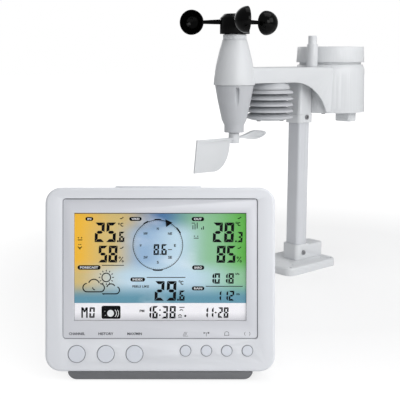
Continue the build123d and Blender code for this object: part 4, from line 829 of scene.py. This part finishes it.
links.new(coat.outputs["Geometry"], leave.inputs["Geometry"])
print("tree", ring_tree.name)


# %% Rings made with it
def socket_name(tree, name):
    """The identifier of a tree's input, which is what a modifier wants."""
    return next(item.identifier for item in tree.interface.items_tree
                if item.name == name and item.in_out == "INPUT")


def mark_ring(name, x, y, marks, radius, length, width, ink, lift, body="console"):
    """Marks round a circle on the display, as one plain mesh."""
    holder = bpy.data.objects.new(name, bpy.data.meshes.new(name))
    scene.collection.objects.link(holder)
    rule = holder.modifiers.new("marks", "NODES")
    rule.node_group = ring_tree
    for key, value in (("Marks", marks), ("Radius", radius * MM), ("Mark length", length * MM),
                       ("Mark width", width * MM), ("Ink", ink)):
        rule[socket_name(ring_tree, key)] = value
    mesh = bpy.data.meshes.new_from_object(holder.evaluated_get(bpy.context.evaluated_depsgraph_get()))
    holder.modifiers.clear()
    mesh.transform(sheet_matrix(screen_low, lcd_high.z + lift) @ Matrix.Translation((x * MM, y * MM, 0)))
    mesh.name = name
    holder.data = mesh
    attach(holder, body)
    return holder


COMPASS_X, COMPASS_Y, COMPASS_R = 85.3, 77.3, 25.5
mark_ring("compass_scale", COMPASS_X, COMPASS_Y, 72, COMPASS_R - 1.0, 1.3, 0.24, crystal_black, DARK_LIFT)
dark += arc(COMPASS_X, COMPASS_Y, COMPASS_R, 0, 360, 0.65, 72)
for heading_deg, spread in ((90, 8), (270, 11), (35, 8), (118, 6)):
    dark += arc(COMPASS_X, COMPASS_Y, COMPASS_R + 0.5, heading_deg - spread, heading_deg + spread, 1.3, 10)
POINTER_TURN = radians(65)
POINTER_IN, POINTER_OUT, POINTER_HALF = COMPASS_R - 5.4, COMPASS_R + 1.8, 0.15
tip = (COMPASS_X + POINTER_IN * cos(POINTER_TURN), COMPASS_Y + POINTER_IN * sin(POINTER_TURN))
wings = [(COMPASS_X + POINTER_OUT * cos(angle), COMPASS_Y + POINTER_OUT * sin(angle))
         for angle in (POINTER_TURN - POINTER_HALF, POINTER_TURN + POINTER_HALF)]
dark += [[tip, *wings]]
COMPASS_LETTERS = ("E", "NE", "N", "NW", "W", "SW", "S", "SE")
for step, letters in enumerate(COMPASS_LETTERS):
    heading_deg = radians(45 * step)
    small_words.append((letters, COMPASS_X + 17.6 * cos(heading_deg),
                        COMPASS_Y + 17.2 * sin(heading_deg) - 0.6,
                        2.1 * len(letters), 2.8))
print("compass letters", len(COMPASS_LETTERS))

# %% [markdown]
# ## Sun, clouds and moon
# The forecast is a line drawing: a sun behind two clouds. The sun's rays come from the same tree as the
# compass scale. A cloud's outline is a row of arcs that meet, closed by a straight base. The moon stands in a
# dark box.

# %% Forecast and moon
SUN_X, SUN_Y = 32.5, 44.0
dark += arc(SUN_X, SUN_Y, 4.4, 0, 360, 1.05, 30)
mark_ring("sun_rays", SUN_X, SUN_Y, 12, 6.9, 1.8, 0.85, crystal_black, DARK_LIFT)
dark += arc(12.9, 33.6, 4.3, 95, 268, 1.15, 14) + arc(19.9, 36.4, 5.7, 18, 158, 1.15, 16)
dark += arc(26.4, 33.4, 4.2, -88, 92, 1.15, 14) + arc(21.5, 34.4, 3.2, 190, 260, 1.0, 8)
dark += [bar(12.7, 29.3, 26.6, 29.3, 1.15)]
dark += arc(37.4, 33.0, 4.4, 30, 165, 1.15, 14) + arc(42.2, 31.0, 3.8, -90, 62, 1.15, 14)
dark += [bar(29.5, 27.2, 42.3, 27.2, 1.15)] + arc(30.6, 28.8, 2.2, 205, 262, 1.05, 6)
MOON_BOX = (27.7, 1.7, 47.1, 15.0)
low_x, low_y, high_x, high_y = MOON_BOX
box_corner = 1.6
dark += [[(x + box_corner * cos(radians(a)), y + box_corner * sin(radians(a))) for x, y, first in (
    (high_x - box_corner, high_y - box_corner, 0), (low_x + box_corner, high_y - box_corner, 90),
    (low_x + box_corner, low_y + box_corner, 180), (high_x - box_corner, low_y + box_corner, 270))
    for a in range(first, first + 91, 30)]]
white = [disc(36.9, 7.3, 3.5)]
white += arc(38.4, 7.3, 4.6, -50, 50, 0.7, 12) + arc(39.6, 7.3, 5.6, -42, 42, 0.6, 12)
white += [disc(31.0, 9.4, 0.35, steps=6), disc(31.6, 5.2, 0.35, steps=6), disc(45.4, 9.2, 0.3, steps=6)]
print("strokes", len(dark))

# %% Small signs
dark += [disc(4.0, 84.6, 0.7, steps=8), disc(7.2, 84.6, 0.7, steps=8), bar(3.2, 82.4, 8.0, 82.4, 0.85)]
dark += arc(5.4, 76.4, 2.1, 200, 340, 0.85, 8)
dark += [disc(4.5, 77.6, 0.6, steps=6), disc(6.3, 77.6, 0.6, steps=6)]
dark += [bar(4.4, 73.3, 6.4, 73.3, 0.75)]
dark += [bar(120.0, 99.6, 123.4, 99.6, 0.7), bar(121.2, 93.2, 121.2, 97.4, 0.8),
         bar(123.4, 93.2, 123.4, 98.8, 0.8), bar(125.6, 94.0, 125.6, 100.2, 0.8),
         bar(130.2, 93.0, 130.2, 95.0, 0.9), bar(132.0, 93.0, 132.0, 96.4, 0.9)]
dark += [disc(122.8, 86.2, 0.6, steps=8), disc(126.2, 86.2, 0.6, steps=8),
         bar(122.0, 84.2, 127.0, 84.2, 0.75)]
dark += [bar(107.4, 13.4, 112.6, 13.4, 0.85)] + arc(109.4, 9.4, 1.6, 20, 160, 0.85, 8)
dark += arc(108.0, 4.4, 1.5, 0, 180, 0.85, 8)
dark += [bar(106.2, 3.4, 109.8, 3.4, 0.8), disc(113.4, 4.6, 1.1, steps=10)]
WEEKDAY_X, WEEKDAY_Y, WEEKDAY_H = 7.3, 2.7, 10.7
dark += [bar(WEEKDAY_X + 0.5, WEEKDAY_Y, WEEKDAY_X + 0.5, WEEKDAY_Y + WEEKDAY_H, 1.6),
         bar(WEEKDAY_X + 5.4, WEEKDAY_Y, WEEKDAY_X + 5.4, WEEKDAY_Y + WEEKDAY_H, 1.6),
         bar(WEEKDAY_X + 1.2, WEEKDAY_Y + WEEKDAY_H - 0.4, WEEKDAY_X + 2.9, WEEKDAY_Y + 5.8, 1.4),
         bar(WEEKDAY_X + 4.7, WEEKDAY_Y + WEEKDAY_H - 0.4, WEEKDAY_X + 3.0, WEEKDAY_Y + 5.8, 1.4)]
dark += reading("0", 15.1, WEEKDAY_Y, 5.4, WEEKDAY_H, 1.7, 0)
print("strokes", len(dark))

# %% Set the drawing on the display
dark_place = sheet_matrix(screen_low, lcd_high.z + DARK_LIFT)
white_place = sheet_matrix(screen_low, lcd_high.z + WHITE_LIFT)
drawn("display_strokes", dark, crystal_black, dark_place)
written("display_words", small_words, crystal_black, dark_place)
written("badge_words", badge_words, print_white, white_place)
drawn("moon", white, print_white, white_place)
SCREEN_LINE = 0.6
edges = [bar(0, SCREEN_MM[1] - SCREEN_LINE / 2, SCREEN_MM[0], SCREEN_MM[1] - SCREEN_LINE / 2, SCREEN_LINE)]
drawn("screen_line", edges, print_grey, dark_place)
print("display drawn")

# %% [markdown]
# ## Key names on the panel
# Three keys are named in words and four by small signs, printed in grey on the silver panel above them. They
# lie a few hundredths of a millimetre above its surface, over the keys, whose places come from the frame.


# %% Print the key names
def key_middle(node):
    """Where a key stands across the face, in millimetres."""
    low, high = face_box(node)
    return (low.x + high.x) / 2 / MM


LABEL_UP = 20.4 * MM
label_y = face_box("large_key_1")[0].y + face_box("large_key_1")[1].y
label_y = label_y / 2 + LABEL_UP
panel_place = face_turn.to_4x4()
panel_place.translation = face_turn @ Vector((0, label_y, panel_high.z + 0.04 * MM))
KEY_NAMES = (("large_key_1", "CHANNEL", 16.4), ("large_key_2", "HISTORY", 15.4),
             ("large_key_3", "MAX/MIN", 15.0))
written("key_names", [(text, key_middle(node), 0, width, 2.7) for node, text, width in KEY_NAMES], print_grey,
        panel_place)
rain_x, wind_x, alarm_x, set_x = [key_middle(f"small_key_{number}") for number in (1, 2, 3, 4)]
signs = [bar(rain_x - 2.4 + step, -1.8, rain_x - 0.9 + step, 1.8, 0.35) for step in (0, 1.3, 2.6)]
signs += [bar(rain_x - 2.6, -2.4, rain_x + 2.6, -2.4, 0.35)]
signs += [bar(wind_x - 2.8, 0.9, wind_x + 2.8, 0.9, 0.4), bar(wind_x, -2.6, wind_x, 0.9, 0.4),
          [(wind_x - 2.8, 2.0), (wind_x - 1.2, 0.9), (wind_x - 2.8, -0.2)],
          disc(wind_x + 2.2, 0.9, 0.9, steps=10)]
signs += arc(alarm_x, 0, 2.2, 20, 160, 0.4, 10) + [bar(alarm_x - 2.6, -1.6, alarm_x + 2.6, -1.6, 0.4),
                                                   bar(alarm_x - 2.1, -1.6, alarm_x - 2.1, 0.7, 0.4),
                                                   bar(alarm_x + 2.1, -1.6, alarm_x + 2.1, 0.7, 0.4)]
signs += arc(set_x - 0.4, 0, 2.4, 130, 230, 0.4, 8) + arc(set_x + 0.4, 0, 2.4, -50, 50, 0.4, 8)
drawn("key_signs", signs, print_grey, panel_place)
print("key names", len(KEY_NAMES), "signs", 4)

# %% [markdown]
# ## Fine gaps on the console
# The panel lies in a recess, and each key moves in a hole that is a little larger. Both leave a thin dark
# line round the piece. The gaps are there, but on a pale moulding they fill with light, so a thin grey line
# of painted shade is laid along them, heavier along the panel's top edge. These lines of painted shade are
# drawn like the display's strokes, on the panel and on the front, and ride on the console.


# %% Painted shade along the gaps
def rounded_line(low_x, low_y, high_x, high_y, radius, width):
    """A thin closed line with round corners."""
    sides = [bar(low_x + radius, y, high_x - radius, y, width) for y in (low_y, high_y)]
    sides += [bar(x, low_y + radius, x, high_y - radius, width) for x in (low_x, high_x)]
    for x, y, first in ((high_x - radius, high_y - radius, 0), (low_x + radius, high_y - radius, 90),
                        (low_x + radius, low_y + radius, 180), (high_x - radius, low_y + radius, 270)):
        sides += arc(x, y, radius, first, first + 90, width, 6)
    return sides


GAP_SHADE_WIDTH, GAP_SHADE_LIFT, PANEL_CORNER, KEY_SHADE_WIDTH, KEY_GAP = 0.6, 0.03 * MM, 3.0, 0.45, 0.5
face_origin = Vector((0, 0, 0))
panel_edges = [value / MM for value in (panel_low.x, panel_low.y, panel_high.x, panel_high.y)]
inset = GAP_SHADE_WIDTH / 2
gap_shade = rounded_line(panel_edges[0] + inset, panel_edges[1] + inset, panel_edges[2] - inset,
                   panel_edges[3] - inset,
                   PANEL_CORNER, GAP_SHADE_WIDTH)
# A second line along the panel's top edge: heavier painted shade under the recess's upper wall.
gap_shade += [bar(panel_edges[0] + PANEL_CORNER, panel_edges[3] - GAP_SHADE_WIDTH, panel_edges[2] - PANEL_CORNER,
            panel_edges[3] - GAP_SHADE_WIDTH, GAP_SHADE_WIDTH)]
drawn("panel_gap_shade", gap_shade, gap_shade_grey, sheet_matrix(face_origin, panel_high.z + GAP_SHADE_LIFT))
front_level = face_box("console_front")[1].z
key_gap_shade = []
# Each key gets a ring of painted shade just outside its cap, where its gap is.
for node in [f"large_key_{n}" for n in (1, 2, 3)] + [f"small_key_{n}" for n in (1, 2, 3, 4)]:
    points = [face_turn.transposed() @ vertex.co for vertex in frame["nodes"][node].data.vertices]
    cap = [point for point in points if point.z > front_level - 0.1 * MM]
    across, up = [point.x for point in cap], [point.y for point in cap]
    cap_radius = (max(across) - min(across)) / 2 / MM
    key_gap_shade += arc((max(across) + min(across)) / 2 / MM, (max(up) + min(up)) / 2 / MM,
                    cap_radius + KEY_GAP, 0, 360, KEY_SHADE_WIDTH, 36)
    print(node, "radius", round(cap_radius, 2))
drawn("key_gap_shade", key_gap_shade, gap_shade_grey, sheet_matrix(face_origin, front_level + GAP_SHADE_LIFT))

# %% [markdown]
# ## The crown of the shield
# The stack of louvres hangs on three studs, and a shallow crown closes the space between its top and the arm.
# It is a turned shape: one profile, spun about the shield's axis with the heights read from its two
# neighbours.

# %% Spin the crown
top_low, top_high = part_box("shield_top")
LOUVRE_DEEP = 6.0 * MM
crown_foot = top_low.z + LOUVRE_DEEP
shield_x, shield_r = (top_low.x + top_high.x) / 2, (top_high.x - top_low.x) / 2
arm_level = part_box("arm_cover")[0].z
rise = arm_level - crown_foot
print("crown rises", round(rise, 4), "radius", round(shield_r, 4))
form = bmesh.new()
CROWN_SHARES = ((0.86, 0.0), (0.86, 0.25), (0.83, 0.5), (0.78, 0.75), (0.75, 1.0), (0.7, 1.0))
profile = [form.verts.new((shield_x + shield_r * share, 0, crown_foot + rise * level))
           for share, level in CROWN_SHARES]
strands = [form.edges.new(pair) for pair in zip(profile, profile[1:])]
bmesh.ops.spin(form, geom=profile + strands, cent=(shield_x, 0, 0), axis=(0, 0, 1), angle=2 * pi, steps=64)
bmesh.ops.remove_doubles(form, verts=form.verts, dist=0.00001)
bmesh.ops.recalc_face_normals(form, faces=form.faces)
crown_mesh = bpy.data.meshes.new("shield_crown")
form.to_mesh(crown_mesh)
form.free()
crown = bpy.data.objects.new("shield_crown", crown_mesh)
scene.collection.objects.link(crown)
# The crown takes the darker white: painted shade under the arm.
crown_mesh.materials.append(shaded_housing_white)
crown_mesh.polygons.foreach_set("use_smooth", [True] * len(crown_mesh.polygons))
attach(crown, "sensor")
